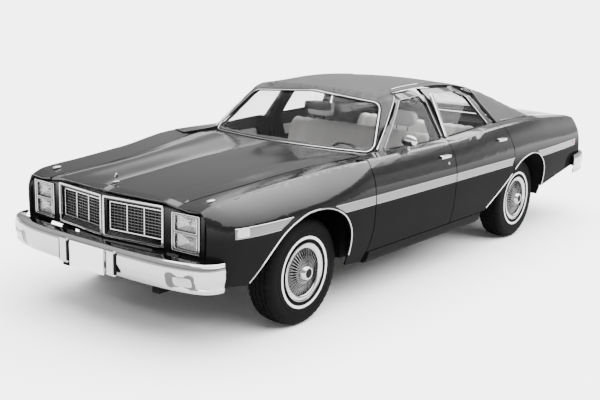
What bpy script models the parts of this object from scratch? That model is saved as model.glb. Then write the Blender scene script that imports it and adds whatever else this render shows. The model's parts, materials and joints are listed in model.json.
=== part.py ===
"""A full-size four-door sedan, built as an assembly of panels, glass, seats, running gear and wheels.

Metres, +Z up. The front faces -Y, the car's left side is +X, and the ground is z = 0.
Run it with blender --background --python part.py, or from Blender's text editor.
"""

import math

import bmesh
import bpy
from mathutils import Matrix, Vector

# Driving dimensions
WHEELBASE = 2.985
FRONT_OVERHANG = 0.985
REAR_OVERHANG = 1.577
HALF_WIDTH = 0.985
HALF_TRACK = 0.787
ROOF_Z = 1.383
WAIST_Z = 0.72
BELT_Z = 1.0
BELT_RISE = 0.036
SILL_BOTTOM_Z = 0.302
DOOR_BOTTOM_Z = 0.368
DOOR_GAP = 0.009
FIT_GAP = 0.0004

# Wheels
TYRE_RADIUS = 0.345
RIM_RADIUS = 0.190
SPINDLE_RADIUS = 0.028
KINGPIN_INSET = 0.132
KINGPIN_X = HALF_TRACK - KINGPIN_INSET

# Sheet and wall thicknesses
SKIN = 0.010
ROOF_WALL = 0.030
FRAME_WALL = 0.022
GLASS = 0.005
DOOR_DEPTH = 0.155
DOOR_INNER_X = HALF_WIDTH - DOOR_DEPTH

LENGTH = FRONT_OVERHANG + WHEELBASE + REAR_OVERHANG
FRONT_AXLE_Y = FRONT_OVERHANG - LENGTH / 2
REAR_AXLE_Y = FRONT_AXLE_Y + WHEELBASE


STATION_PITCH = WHEELBASE / 2.985


def front(offset):
    """A station measured back from the front axle. Behind it, stations spread with the wheelbase."""
    return FRONT_AXLE_Y + offset * (STATION_PITCH if offset > 0 else 1.0)


def rear(offset):
    """A station measured back from the rear axle. Ahead of it, stations spread with the wheelbase."""
    return REAR_AXLE_Y + offset * (STATION_PITCH if offset < 0 else 1.0)


# Shut lines, as stations
DOOR_FRONT_Y = front(0.624)
DOOR_SPLIT_Y = front(1.700)
DOOR_REAR_Y = rear(-0.395)
HOOD_REAR_Y = front(0.750)
NOSE_Y = front(-0.850)
DECK_FRONT_Y = rear(0.370)
DECK_REAR_Y = rear(1.215)
FIREWALL_Y = front(0.690)


def smooth_curve(*points):
    """A function through the points, smooth and with no overshoot between them."""
    xs = [p[0] for p in points]
    ys = [p[1] for p in points]
    steps = [b - a for a, b in zip(xs, xs[1:])]
    slopes = [(b - a) / h for a, b, h in zip(ys, ys[1:], steps)]
    tangents = [slopes[0]]
    for a, b in zip(slopes, slopes[1:]):
        tangents.append(2 * a * b / (a + b) if a * b > 0 else 0.0)
    tangents.append(slopes[-1])

    def value(x):
        if x <= xs[0]:
            return ys[0]
        if x >= xs[-1]:
            return ys[-1]
        i = max(k for k in range(len(steps)) if xs[k] <= x)
        h = steps[i]
        t = (x - xs[i]) / h
        return (
            (1 + 2 * t) * (1 - t) ** 2 * ys[i]
            + t * (1 - t) ** 2 * h * tangents[i]
            + t * t * (3 - 2 * t) * ys[i + 1]
            + t * t * (t - 1) * h * tangents[i + 1]
        )

    return value


def spread(low, high, count):
    """Evenly spaced values from low to high, both included."""
    return [low + (high - low) * i / (count - 1) for i in range(count)]


# Body surface: the half width at the waist, the shoulder crease and the lower edge, along the car
plan_x = smooth_curve(
    (front(-0.800), HALF_WIDTH - 0.200),
    (front(-0.730), HALF_WIDTH - 0.105),
    (front(-0.640), HALF_WIDTH - 0.060),
    (front(-0.450), HALF_WIDTH - 0.032),
    (front(0.000), HALF_WIDTH - 0.017),
    (front(0.600), HALF_WIDTH - 0.006),
    (front(1.500), HALF_WIDTH),
    (rear(-0.400), HALF_WIDTH),
    (rear(0.300), HALF_WIDTH - 0.013),
    (rear(0.800), HALF_WIDTH - 0.040),
    (rear(1.150), HALF_WIDTH - 0.070),
    (rear(1.350), HALF_WIDTH - 0.092),
)
crease_x = smooth_curve(
    (front(-0.800), HALF_WIDTH - 0.222),
    (front(-0.730), HALF_WIDTH - 0.212),
    (front(-0.500), HALF_WIDTH - 0.210),
    (front(0.000), HALF_WIDTH - 0.185),
    (front(0.300), HALF_WIDTH - 0.135),
    (front(0.600), HALF_WIDTH - 0.080),
    (front(1.000), HALF_WIDTH - 0.075),
    (rear(-0.400), HALF_WIDTH - 0.078),
    (rear(0.300), HALF_WIDTH - 0.095),
    (rear(0.800), HALF_WIDTH - 0.122),
    (rear(1.350), HALF_WIDTH - 0.160),
)
crease_z = smooth_curve(
    (front(-0.800), BELT_Z - 0.172),
    (front(-0.700), BELT_Z - 0.138),
    (front(-0.400), BELT_Z - 0.112),
    (front(0.000), BELT_Z - 0.080),
    (front(0.550), BELT_Z - 0.036),
    (front(0.900), BELT_Z - 0.034),
    (front(1.700), BELT_Z - 0.032),
    (rear(-0.380), BELT_Z + 0.006),
    (rear(0.100), BELT_Z + 0.010),
    (rear(0.600), BELT_Z - 0.018),
    (rear(1.000), BELT_Z - 0.048),
    (rear(1.250), BELT_Z - 0.066),
)
lower_z = smooth_curve(
    (front(-0.760), SILL_BOTTOM_Z + 0.118),
    (front(-0.540), SILL_BOTTOM_Z + 0.098),
    (front(0.250), SILL_BOTTOM_Z + 0.045),
    (front(0.624), SILL_BOTTOM_Z),
    (rear(-0.800), SILL_BOTTOM_Z),
    (rear(0.250), SILL_BOTTOM_Z + 0.098),
    (rear(0.800), SILL_BOTTOM_Z + 0.168),
    (rear(1.350), SILL_BOTTOM_Z + 0.218),
)


def ramp(y, start, end):
    """How far y lies from start to end, from 0 to 1."""
    return max(0.0, min(1.0, (y - start) / (end - start)))


def belt_z(y):
    """The height of the window line: it climbs to the screen pillar, and again along the rear door."""
    ahead = 1.0 - ramp(y, DOOR_FRONT_Y, front(0.970))
    along = 1.0 - ramp(y, front(0.970), DOOR_SPLIT_Y)
    return BELT_Z - 0.016 * ahead - 0.018 * along + BELT_RISE * ramp(y, DOOR_SPLIT_Y, DOOR_REAR_Y)


def belt_x(y):
    """The half width where the window line meets the greenhouse."""
    return side_base_x(y) - SIDE_LEAN * (belt_z(y) - BELT_Z)


def side_x(y, z):
    """The outer skin's half width at a station and a height below the shoulder crease."""
    widest = plan_x(y)
    if z >= WAIST_Z:
        rise = min(1.0, (z - WAIST_Z) / (crease_z(y) - WAIST_Z))
        return widest - (widest - crease_x(y)) * rise**2.2
    drop = min(1.0, (WAIST_Z - z) / (WAIST_Z - SILL_BOTTOM_Z))
    return widest - 0.055 * drop**2.5


# Greenhouse: the windscreen, roof, backlight and side planes blended into one dome
SHOULDER = 0.123
SIDE_BASE_X = HALF_WIDTH - SHOULDER
side_base_x = smooth_curve(
    (front(0.620), SIDE_BASE_X - 0.150),
    (front(0.940), SIDE_BASE_X - 0.102),
    (front(1.130), SIDE_BASE_X - 0.055),
    (front(1.326), SIDE_BASE_X - 0.017),
    (front(1.600), SIDE_BASE_X),
    (rear(-0.300), SIDE_BASE_X),
    (rear(0.400), SIDE_BASE_X - 0.006),
)
SIDE_LEAN = 0.70
SCREEN_BASE_Y = front(0.808)
SCREEN_SWEEP = 0.112
SCREEN_SLOPE = 0.886
SCREEN_BASE_Z = 0.965
BACKLIGHT_BASE_Y = rear(0.430)
BACKLIGHT_SWEEP = 0.080
BACKLIGHT_SLOPE = 0.36
ROOF_CROWN = 0.035
ROOF_ARCH = 0.10
ROOF_PEAK_Y = front(1.900)
ROOF_EDGE_X = SIDE_BASE_X - 0.245


def soft_min(a, b, width):
    """The smaller of two heights, rounded over where they meet."""
    low, high = min(a, b), max(a, b)
    return low - width * math.log1p(math.exp((low - high) / width))


def greenhouse_z(x, y):
    """The height of the upper body's outer surface."""
    side = BELT_Z + (side_base_x(y) - abs(x)) / SIDE_LEAN
    screen_y = SCREEN_BASE_Y + SCREEN_SWEEP * (x / 0.746) ** 2
    screen = SCREEN_BASE_Z + SCREEN_SLOPE * (y - screen_y)
    back_y = BACKLIGHT_BASE_Y - BACKLIGHT_SWEEP * (x / 0.8) ** 2
    back = BELT_Z + BACKLIGHT_SLOPE * (back_y - y)
    roof = ROOF_Z - ROOF_CROWN * (x / ROOF_EDGE_X) ** 2 - ROOF_ARCH * (y - ROOF_PEAK_Y) ** 2
    return soft_min(soft_min(soft_min(roof, screen, 0.008), back, 0.010), side, 0.010)


# Scene, materials and small tools
for old in list(bpy.data.objects):
    bpy.data.objects.remove(old)

car = bpy.data.collections.new("sedan")
bpy.context.scene.collection.children.link(car)
cutters = bpy.data.collections.new("cutters")
bpy.context.scene.collection.children.link(cutters)

FINISHES = {
    "paint": ((0.045, 0.045, 0.048), 0.25, 0.0),
    "vinyl": ((0.150, 0.150, 0.155), 0.65, 0.0),
    "chrome": ((0.75, 0.75, 0.76), 0.12, 1.0),
    "glass": ((0.60, 0.62, 0.62), 0.05, 0.0),
    "lamp": ((0.80, 0.80, 0.78), 0.15, 0.0),
    "tail_lamp": ((0.30, 0.02, 0.02), 0.20, 0.0),
    "rubber": ((0.020, 0.020, 0.020), 0.80, 0.0),
    "seat": ((0.40, 0.40, 0.39), 0.70, 0.0),
    "trim_black": ((0.03, 0.03, 0.03), 0.60, 0.0),
    "cast_iron": ((0.10, 0.10, 0.10), 0.70, 0.6),
    "underbody": ((0.05, 0.05, 0.05), 0.80, 0.2),
    "plate": ((0.70, 0.70, 0.70), 0.45, 0.0),
}
materials = {}
for finish, (colour, roughness, metallic) in FINISHES.items():
    material = bpy.data.materials.new(finish)
    material.use_nodes = True
    shader = material.node_tree.nodes["Principled BSDF"]
    shader.inputs["Base Color"].default_value = (*colour, 1.0)
    shader.inputs["Roughness"].default_value = roughness
    shader.inputs["Metallic"].default_value = metallic
    materials[finish] = material


FLAT_ANGLE = 0.3


def finish_object(obj, finish, smooth=35.0):
    """Merges flat faces, then gives an object its material and smooth shading away from its edges."""
    made = bmesh.new()
    made.from_mesh(obj.data)
    bmesh.ops.dissolve_limit(made, angle_limit=math.radians(FLAT_ANGLE), verts=made.verts, edges=made.edges)
    bmesh.ops.triangulate(made, faces=made.faces)
    made.to_mesh(obj.data)
    made.free()
    obj.data.materials.clear()
    obj.data.materials.append(materials[finish])
    obj.data.shade_smooth()
    obj.data.set_sharp_from_angle(angle=math.radians(smooth))
    return obj


def mesh_object(name, points, faces, collection=car):
    """An object made from points and faces, with its normals facing out."""
    mesh = bpy.data.meshes.new(name)
    mesh.from_pydata([tuple(p) for p in points], [], faces)
    made = bmesh.new()
    made.from_mesh(mesh)
    closed = all(edge.is_manifold for edge in made.edges)
    bmesh.ops.triangulate(made, faces=[f for f in made.faces if closed or len(f.verts) > 4])
    bmesh.ops.recalc_face_normals(made, faces=made.faces)
    made.to_mesh(mesh)
    made.free()
    obj = bpy.data.objects.new(name, mesh)
    collection.objects.link(obj)
    return obj


def as_cutter(obj):
    """Moves a helper to the cutters, out of the render."""
    for collection in list(obj.users_collection):
        collection.objects.unlink(obj)
    cutters.objects.link(obj)
    obj.hide_render = True
    obj.display_type = "WIRE"
    return obj


def baked(obj):
    """Applies the object's modifiers to its mesh."""
    bpy.context.view_layer.update()
    graph = bpy.context.evaluated_depsgraph_get()
    mesh = bpy.data.meshes.new_from_object(obj.evaluated_get(graph))
    obj.modifiers.clear()
    obj.data = mesh
    return obj


def combine(obj, other, operation):
    """Cuts, joins or intersects an object with another, and puts the other away."""
    modifier = obj.modifiers.new(operation.lower(), "BOOLEAN")
    modifier.operation = operation
    modifier.object = other
    baked(obj)
    as_cutter(other)
    return obj


def cut(obj, *others):
    for other in others:
        combine(obj, other, "DIFFERENCE")
    return obj


def join(obj, *others):
    for other in others:
        combine(obj, other, "UNION")
    return obj


def keep_inside(obj, other):
    return combine(obj, other, "INTERSECT")


def copy_of(obj, name, matrix=None, collection=car):
    """A copy of an object's finished mesh, moved by a matrix if one is given."""
    mesh = obj.data.copy()
    if matrix is not None:
        mesh.transform(matrix)
        if matrix.determinant() < 0:
            mesh.flip_normals()
    made = bpy.data.objects.new(name, mesh)
    collection.objects.link(made)
    return made


MIRROR_X = Matrix.Scale(-1.0, 4, Vector((1.0, 0.0, 0.0)))


def box(name, low, high, bevel=0.0):
    """A box between two corners, with its edges rounded if a bevel is given."""
    made = bmesh.new()
    bmesh.ops.create_cube(made, size=1.0)
    for vertex in made.verts:
        for axis in range(3):
            middle = (low[axis] + high[axis]) / 2
            vertex.co[axis] = middle + vertex.co[axis] * (high[axis] - low[axis])
    if bevel:
        bmesh.ops.bevel(made, geom=made.edges[:], offset=bevel, segments=2, affect="EDGES", profile=0.5)
    mesh = bpy.data.meshes.new(name)
    made.to_mesh(mesh)
    made.free()
    obj = bpy.data.objects.new(name, mesh)
    car.objects.link(obj)
    return obj


def rod(name, start, end, radius, sides=16, end_radius=None):
    """A round bar or cone between two points."""
    start, end = Vector(start), Vector(end)
    made = bmesh.new()
    bmesh.ops.create_cone(
        made,
        cap_ends=True,
        segments=sides,
        radius1=radius,
        radius2=radius if end_radius is None else end_radius,
        depth=(end - start).length,
    )
    turn = (end - start).to_track_quat("Z", "Y").to_matrix().to_4x4()
    made.transform(Matrix.Translation((start + end) / 2) @ turn)
    mesh = bpy.data.meshes.new(name)
    made.to_mesh(mesh)
    made.free()
    obj = bpy.data.objects.new(name, mesh)
    car.objects.link(obj)
    return obj


def plate(name, outline, axis, low, high, holes=()):
    """A flat outline with holes, extruded along an axis, as a filled 2D curve turned into a mesh."""
    data = bpy.data.curves.new(name, "CURVE")
    data.dimensions = "2D"
    data.fill_mode = "BOTH"
    data.extrude = (high - low) / 2
    for loop in (outline, *holes):
        spline = data.splines.new("POLY")
        spline.points.add(len(loop) - 1)
        for point, (a, b) in zip(spline.points, loop):
            point.co = (a, b, 0.0, 1.0)
        spline.use_cyclic_u = True
    flat = bpy.data.objects.new(name + "_curve", data)
    car.objects.link(flat)
    bpy.context.view_layer.update()
    mesh = bpy.data.meshes.new_from_object(flat.evaluated_get(bpy.context.evaluated_depsgraph_get()))
    bpy.data.objects.remove(flat)
    middle = (low + high) / 2
    turns = {
        "X": Matrix(((0, 0, 1, middle), (1, 0, 0, 0), (0, 1, 0, 0), (0, 0, 0, 1))),
        "Y": Matrix(((1, 0, 0, 0), (0, 0, 1, middle), (0, 1, 0, 0), (0, 0, 0, 1))),
        "Z": Matrix(((1, 0, 0, 0), (0, 1, 0, 0), (0, 0, 1, middle), (0, 0, 0, 1))),
    }
    mesh.transform(turns[axis])
    made = bmesh.new()
    made.from_mesh(mesh)
    bmesh.ops.remove_doubles(made, verts=made.verts, dist=1e-5)
    bmesh.ops.recalc_face_normals(made, faces=made.faces)
    made.to_mesh(mesh)
    made.free()
    obj = bpy.data.objects.new(name, mesh)
    car.objects.link(obj)
    return obj


def tube(name, route, radius, resolution=2):
    """A round tube along a route, as a bevelled curve with its caps welded on."""
    data = bpy.data.curves.new(name, "CURVE")
    data.dimensions = "3D"
    data.bevel_depth = radius
    data.bevel_resolution = resolution
    data.use_fill_caps = True
    spline = data.splines.new("POLY")
    spline.points.add(len(route) - 1)
    for point, position in zip(spline.points, route):
        point.co = (*position, 1.0)
    line = bpy.data.objects.new(name + "_line", data)
    car.objects.link(line)
    bpy.context.view_layer.update()
    mesh = bpy.data.meshes.new_from_object(line.evaluated_get(bpy.context.evaluated_depsgraph_get()))
    bpy.data.objects.remove(line)
    made = bmesh.new()
    made.from_mesh(mesh)
    bmesh.ops.remove_doubles(made, verts=made.verts, dist=1e-5)
    bmesh.ops.recalc_face_normals(made, faces=made.faces)
    made.to_mesh(mesh)
    made.free()
    obj = bpy.data.objects.new(name, mesh)
    car.objects.link(obj)
    return obj


def turned(name, profile, centre, steps, closed=True):
    """A profile of (radius, along X) pairs turned about an X axis with a Screw modifier."""
    points = [(along, 0.0, radius) for radius, along in profile]
    count = len(points)
    edges = [(i, i + 1) for i in range(count - 1)] + ([(count - 1, 0)] if closed else [])
    mesh = bpy.data.meshes.new(name)
    mesh.from_pydata(points, edges, [])
    obj = bpy.data.objects.new(name, mesh)
    car.objects.link(obj)
    screw = obj.modifiers.new("turn", "SCREW")
    screw.axis = "X"
    screw.steps = screw.render_steps = steps
    screw.use_merge_vertices = True
    screw.merge_threshold = 0.00005
    baked(obj)
    made = bmesh.new()
    made.from_mesh(obj.data)
    bmesh.ops.recalc_face_normals(made, faces=made.faces)
    made.to_mesh(obj.data)
    made.free()
    obj.data.transform(Matrix.Translation(centre))
    return obj


def loft(name, sections, closed_sections=True, collection=car):
    """Skins a run of sections that have equal numbers of points, and caps closed ones."""
    count = len(sections[0])
    points = [p for section in sections for p in section]
    faces = []
    for i in range(len(sections) - 1):
        for j in range(count if closed_sections else count - 1):
            k = (j + 1) % count
            faces.append((i * count + j, i * count + k, (i + 1) * count + k, (i + 1) * count + j))
    if closed_sections:
        faces.append(tuple(range(count)))
        last = (len(sections) - 1) * count
        faces.append(tuple(last + j for j in range(count)))
    return mesh_object(name, points, faces, collection)


def thickened(obj, thickness):
    """Gives an open skin its thickness, on its inner side."""
    solid = obj.modifiers.new("thickness", "SOLIDIFY")
    solid.thickness = thickness
    solid.offset = -1.0
    solid.use_even_offset = True
    return baked(obj)


def shell(name, sections, thickness, outward):
    """An open skin through the sections, its outer side facing outward, with its thickness."""
    obj = loft(name, sections, closed_sections=False)
    normal = sum((p.normal * p.area for p in obj.data.polygons), Vector())
    if normal.dot(Vector(outward)) < 0:
        obj.data.flip_normals()
    return thickened(obj, thickness)


def outline_through(points, per_span=4, closed=True):
    """A smooth outline through a few points of a plane."""
    count = len(points)
    spans = count if closed else count - 1
    found = []
    for i in range(spans):
        a, b, c, d = (points[(i + k) % count] for k in (-1, 0, 1, 2))
        if not closed:
            a = points[max(i - 1, 0)]
            d = points[min(i + 2, count - 1)]
        for k in range(per_span):
            t = k / per_span
            found.append(
                tuple(
                    0.5
                    * (
                        2 * b[n]
                        + (c[n] - a[n]) * t
                        + (2 * a[n] - 5 * b[n] + 4 * c[n] - d[n]) * t * t
                        + (3 * b[n] - a[n] - 3 * c[n] + d[n]) * t**3
                    )
                    for n in range(2)
                )
            )
    if not closed:
        found.append(tuple(points[-1]))
    return found


def rounded(corners, radius, steps=3):
    """A polygon with each corner rounded by an arc of about the radius."""
    found = []
    count = len(corners)
    for i in range(count):
        corner = Vector(corners[i])
        before = (Vector(corners[i - 1]) - corner).normalized()
        after = (Vector(corners[(i + 1) % count]) - corner).normalized()
        reach = radius / math.tan(before.angle(after) / 2)
        start, end = corner + before * reach, corner + after * reach
        for k in range(steps + 1):
            t = k / steps
            found.append(tuple((1 - t) ** 2 * start + 2 * t * (1 - t) * corner + t * t * end))
    return found


def shrunk(outline, inset):
    """An outline moved inwards by about the inset."""
    centre = sum((Vector(p) for p in outline), Vector((0.0, 0.0))) / len(outline)
    area = sum(
        a[0] * b[1] - b[0] * a[1] for a, b in zip(outline, outline[1:] + outline[:1])
    )
    side = 1.0 if area > 0 else -1.0
    found = []
    for i, point in enumerate(outline):
        ahead = Vector(outline[(i + 1) % len(outline)]) - Vector(outline[i - 1])
        inward = Vector((-ahead.y, ahead.x)).normalized() * side
        found.append(tuple(Vector(point) + inward * inset))
    return found


# Wheel openings: the leading edge is drawn out forwards, and the trailing edge drops steeply
ARCH_TOP = 0.748
FRONT_ARCH = [(-0.620, 0.330), (-0.540, 0.430), (-0.320, 0.642), (-0.140, 0.728), (0.000, ARCH_TOP)]
FRONT_ARCH += [(0.140, 0.735), (0.275, 0.675), (0.352, 0.580), (0.372, 0.470), (0.365, 0.330)]
REAR_ARCH = [(-0.760, 0.330), (-0.680, 0.395), (-0.380, 0.575), (-0.180, 0.695), (0.020, 0.738)]
REAR_ARCH += [(0.160, 0.728), (0.270, 0.675), (0.345, 0.590), (0.365, 0.480), (0.360, 0.330)]


def arch_cutter(name, points, axle_y):
    """A prism through a wheel opening, out through the skin of the left side."""
    outline = [(axle_y + y, z) for y, z in outline_through(points, per_span=2, closed=False)]
    outline = [(outline[0][0] - 0.10, 0.150)] + outline + [(outline[-1][0], 0.150)]
    return plate(name, outline, "X", 0.60, 1.30)


# Greenhouse outlines, in side view (y, z), front view (x, z) and plan (x, y)
SIDE_OPENING = [
    (front(0.890), 0.925),
    (front(0.938), 0.966),
    (front(1.119), 1.123),
    (front(1.325), 1.287),
    (front(1.440), 1.324),
    (front(1.715), 1.345),
    (front(2.050), 1.348),
    (rear(-0.645), 1.332),
    (rear(-0.560), 1.290),
    (rear(-0.505), 1.200),
    (rear(-0.405), 1.050),
    (rear(-0.380), 0.940),
]
FRONT_FRAME = [
    (front(0.932), BELT_Z - 0.045),
    (front(0.955), BELT_Z - 0.030),
    (front(1.330), 1.271),
    (front(1.400), 1.312),
    (front(1.725), 1.332),
    (front(1.688), BELT_Z - 0.025),
]
REAR_FRAME = [
    (front(1.718), BELT_Z - 0.025),
    (front(1.808), 1.335),
    (rear(-0.690), 1.320),
    (rear(-0.600), 1.265),
    (rear(-0.440), BELT_Z + 0.005),
    (rear(-0.440), BELT_Z - 0.025),
]
BELT_SEAT = 0.0015
FRONT_GLASS = [
    (front(1.004), belt_z(front(1.004)) + BELT_SEAT),
    (front(1.325), 1.240),
    (front(1.380), 1.282),
    (front(1.698), 1.300),
    (front(1.660), belt_z(front(1.660)) + BELT_SEAT),
]
REAR_GLASS = [
    (front(1.748), belt_z(front(1.748)) + BELT_SEAT),
    (front(1.862), 1.306),
    (rear(-0.735), 1.292),
    (rear(-0.670), 1.250),
    (rear(-0.550), belt_z(rear(-0.550)) + BELT_SEAT),
]
SCREEN_OPENING = [(SIDE_BASE_X - 0.134, 0.978), (SIDE_BASE_X - 0.279, 1.262), (0.0, 1.308)]
BACKLIGHT_OPENING = [
    (0.0, rear(-0.400)),
    (SIDE_BASE_X - 0.332, rear(-0.385)),
    (SIDE_BASE_X - 0.222, rear(0.225)),
    (0.0, rear(0.286)),
]


def both_sides(half):
    """A full outline from its half with x at or above 0."""
    return half + [(-x, y) for x, y in reversed(half) if x > 0]


def dome(name, depth, thickness, angles, base_z):
    """A shell of the greenhouse surface, its outer side sunk by a depth."""
    rings = (0.0, 0.35, 0.60, 0.78, 0.88, 0.94, 0.97, 1.0)
    middle_y = (SCREEN_BASE_Y + BACKLIGHT_BASE_Y) / 2
    rays = []
    for i in range(angles):
        angle = 2 * math.pi * (i + 0.5) / angles
        dx = math.copysign(abs(math.cos(angle)) ** 0.8, math.cos(angle)) * 0.62
        dy = math.copysign(abs(math.sin(angle)) ** 0.8, math.sin(angle))
        low, high = 0.0, 3.0
        for _ in range(40):
            middle = (low + high) / 2
            if greenhouse_z(dx * middle, middle_y + dy * middle) > base_z:
                low = middle
            else:
                high = middle
        ray = []
        for share in rings[1:]:
            x, y = dx * low * share, middle_y + dy * low * share
            ray.append((x, y, greenhouse_z(x, y)))
        rays.append(ray)
    count = len(rings) - 1
    points = [(0.0, middle_y, greenhouse_z(0.0, middle_y))] + [point for ray in rays for point in ray]
    faces = []
    for i in range(angles):
        a, b = 1 + i * count, 1 + (i + 1) % angles * count
        faces.append((0, a, b))
        faces += [(a + j, a + j + 1, b + j + 1, b + j) for j in range(count - 1)]
    obj = mesh_object(name, points, faces)
    if sum(p.normal.z * p.area for p in obj.data.polygons) < 0:
        obj.data.flip_normals()
    if depth:
        obj.data.update()
        normals = [v.normal.copy() for v in obj.data.vertices]
        for vertex, normal in zip(obj.data.vertices, normals):
            vertex.co -= normal * depth
    return thickened(obj, thickness)


def make_roof():
    """The vinyl-covered roof with its screen and rear pillars, open at the windows."""
    roof = dome("roof", 0.0, ROOF_WALL, 42, BELT_Z - 0.035)
    screen = rounded(both_sides(SCREEN_OPENING), 0.035)
    backlight = rounded(both_sides(BACKLIGHT_OPENING), 0.035)
    base = belt_z(REAR_AXLE_Y) + FIT_GAP
    below = [(front(1.20), 0.90), (front(1.20), base), (rear(0.70), base), (rear(0.70), 0.90)]
    cut(
        roof,
        plate("side_opening", outline_through(SIDE_OPENING, 2), "X", -1.2, 1.2),
        plate("screen_opening", screen, "Y", front(0.5), front(1.42)),
        plate("backlight_opening", backlight, "Z", 0.9, 1.6),
        plate("roof_foot", below, "X", -1.2, 1.2),
    )
    finish_object(roof, "vinyl")
    pane = dome("windscreen", 0.008, GLASS, 44, BELT_Z - 0.035)
    keep_inside(pane, plate("screen_pane", shrunk(screen, FIT_GAP), "Y", front(0.5), front(1.40)))
    finish_object(pane, "glass")
    pane = dome("backlight", 0.008, GLASS, 44, BELT_Z - 0.035)
    keep_inside(pane, plate("backlight_pane", shrunk(backlight, FIT_GAP), "Z", 0.9, 1.6))
    finish_object(pane, "glass")


def door_cut_front(z):
    """The front door's leading edge: upright, kicked forward near the sill."""
    return DOOR_FRONT_Y - 0.045 * max(0.0, (0.50 - z) / 0.14) ** 1.5


def door_cut_split(z):
    """The line between the doors."""
    return DOOR_SPLIT_Y


def door_cut_rear(z):
    """The rear door's trailing edge, slanted down to the wheel opening."""
    return DOOR_REAR_Y + 0.095 * max(0.0, min(1.0, (BELT_Z + BELT_RISE - z) / 0.22))


DOOR_STEP = 0.016
HINGE_X = HALF_WIDTH - 0.040
HINGE_BACK = 0.110
HINGE_HEIGHTS = (0.52, 0.80)
BARREL_RADIUS = 0.008
BARREL_HALF = 0.030
POST_X = DOOR_INNER_X - 0.085
POST_DEPTH = 0.045
HOOD_CORNER_X = HALF_WIDTH - 0.223


def hinge_y(edge_y):
    """The station of a door's hinge axis, behind its leading edge."""
    return edge_y + HINGE_BACK


def ledge_x(y):
    """The half width of the inner edge of a door's top, which swings clear of the hood's corner."""
    if y >= front(0.940):
        return belt_x(y) - FRAME_WALL
    swing = HINGE_X - HOOD_CORNER_X
    ahead = max(0.0, hinge_y(DOOR_FRONT_Y) - y)
    return max(HINGE_X - math.sqrt(swing * swing - ahead * ahead), belt_x(y) - FRAME_WALL)


def door_section(leading, trailing, share):
    """One closed section of a door's lower half, between its leading and trailing edges."""

    def station(z, step=0.0):
        a = leading(z) + DOOR_GAP / 2 + step
        b = trailing(z) - DOOR_GAP / 2 - step
        return a + (b - a) * share

    points = []
    for z in (DOOR_BOTTOM_Z, 0.43, 0.52, 0.62, WAIST_Z, 0.80, 0.87, 0.925):
        y = station(z)
        points.append((side_x(y, z), y, z))
    y = station(crease_z(station(0.97)))
    belt = belt_z(y)
    points.append((crease_x(y), y, crease_z(y)))
    points.append((crease_x(y) - 0.014, y, crease_z(y) + 0.012))
    points.append((ledge_x(y) + FRAME_WALL + 0.004, y, belt))
    points.append((ledge_x(y), y, belt))
    points.append((ledge_x(y), station(0.93, DOOR_STEP), 0.93))
    for z in (0.66, 0.45):
        points.append((DOOR_INNER_X, station(z, DOOR_STEP), z))
    points.append((DOOR_INNER_X + 0.020, station(DOOR_BOTTOM_Z, DOOR_STEP), DOOR_BOTTOM_Z))
    return points


def make_door(name, leading, trailing, edge_y, glass_outline, frame_outline):
    """A left door's lower box with its window frame and hinge pockets, and its pane."""
    glass_outline = rounded(glass_outline, 0.016, 2)
    door = loft(name + "_left", [door_section(leading, trailing, s) for s in spread(0.0, 1.0, 6)])
    frame = dome(name + "_frame", 0.002, FRAME_WALL, 44, BELT_Z - 0.035)
    keep_inside(frame, plate(name + "_frame_outline", rounded(frame_outline, 0.02, 2), "X", 0.45, 1.1))
    cut(frame, plate(name + "_glass_opening", glass_outline, "X", 0.3, 1.2))
    join(door, frame)
    axis_y = hinge_y(edge_y)
    for i, z in enumerate(HINGE_HEIGHTS):
        low, high = z - BARREL_HALF - FIT_GAP, z + BARREL_HALF + FIT_GAP
        pocket = [(DOOR_INNER_X - 0.05, edge_y - 0.10), (HINGE_X, edge_y - 0.10)]
        pocket += [(HINGE_X + 0.013, axis_y - 0.010), (HINGE_X + 0.013, axis_y + 0.010)]
        pocket += [(HINGE_X, axis_y + 0.014), (DOOR_INNER_X - 0.05, axis_y + 0.014)]
        cut(door, plate(f"{name}_pocket_{i}", pocket, "Z", low, high))
    pane = dome(name + "_glass_left", 0.010, GLASS, 44, BELT_Z - 0.035)
    keep_inside(pane, plate(name + "_pane_outline", shrunk(glass_outline, FIT_GAP), "X", 0.45, 1.1))
    return door, pane


def mirrored(obj):
    """The right-hand copy of a left-hand piece."""
    return copy_of(obj, obj.name.replace("_left", "_right"), MIRROR_X)


def make_doors():
    """Four doors with their panes."""
    front_door, front_pane = make_door(
        "door_front", door_cut_front, door_cut_split, DOOR_FRONT_Y, FRONT_GLASS, FRONT_FRAME
    )
    rear_door, rear_pane = make_door(
        "door_rear", door_cut_split, door_cut_rear, DOOR_SPLIT_Y, REAR_GLASS, REAR_FRAME
    )
    cut(rear_door, arch_cutter("rear_arch_door", REAR_ARCH, REAR_AXLE_Y))
    for pieces, finish in (((front_door, rear_door), "paint"), ((front_pane, rear_pane), "glass")):
        for piece in pieces:
            finish_object(piece, finish)
            finish_object(mirrored(piece), finish)


# Hood, deck lid and the lines that they share with the panels beside them
hood_edge_x = smooth_curve(
    (front(-0.850), HALF_WIDTH - 0.419),
    (front(-0.220), HALF_WIDTH - 0.408),
    (front(0.400), HALF_WIDTH - 0.328),
    (front(0.652), HALF_WIDTH - 0.253),
    (front(0.900), HALF_WIDTH - 0.233),
)
hood_edge_z = smooth_curve(
    (front(-0.850), BELT_Z - 0.168),
    (front(-0.700), BELT_Z - 0.146),
    (front(-0.220), BELT_Z - 0.116),
    (front(0.400), BELT_Z - 0.060),
    (front(0.800), BELT_Z - 0.036),
)
hood_middle_z = smooth_curve(
    (front(-0.860), BELT_Z - 0.134),
    (front(-0.780), BELT_Z - 0.112),
    (front(-0.460), BELT_Z - 0.082),
    (front(0.035), BELT_Z - 0.042),
    (front(0.800), BELT_Z - 0.016),
)
PANEL_GAP = 0.008
HOOD_LIP = 0.004
HOOD_SKIN = 0.014
LID_EDGE = 0.295
LID_HALF_X = HALF_WIDTH - LID_EDGE


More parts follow.
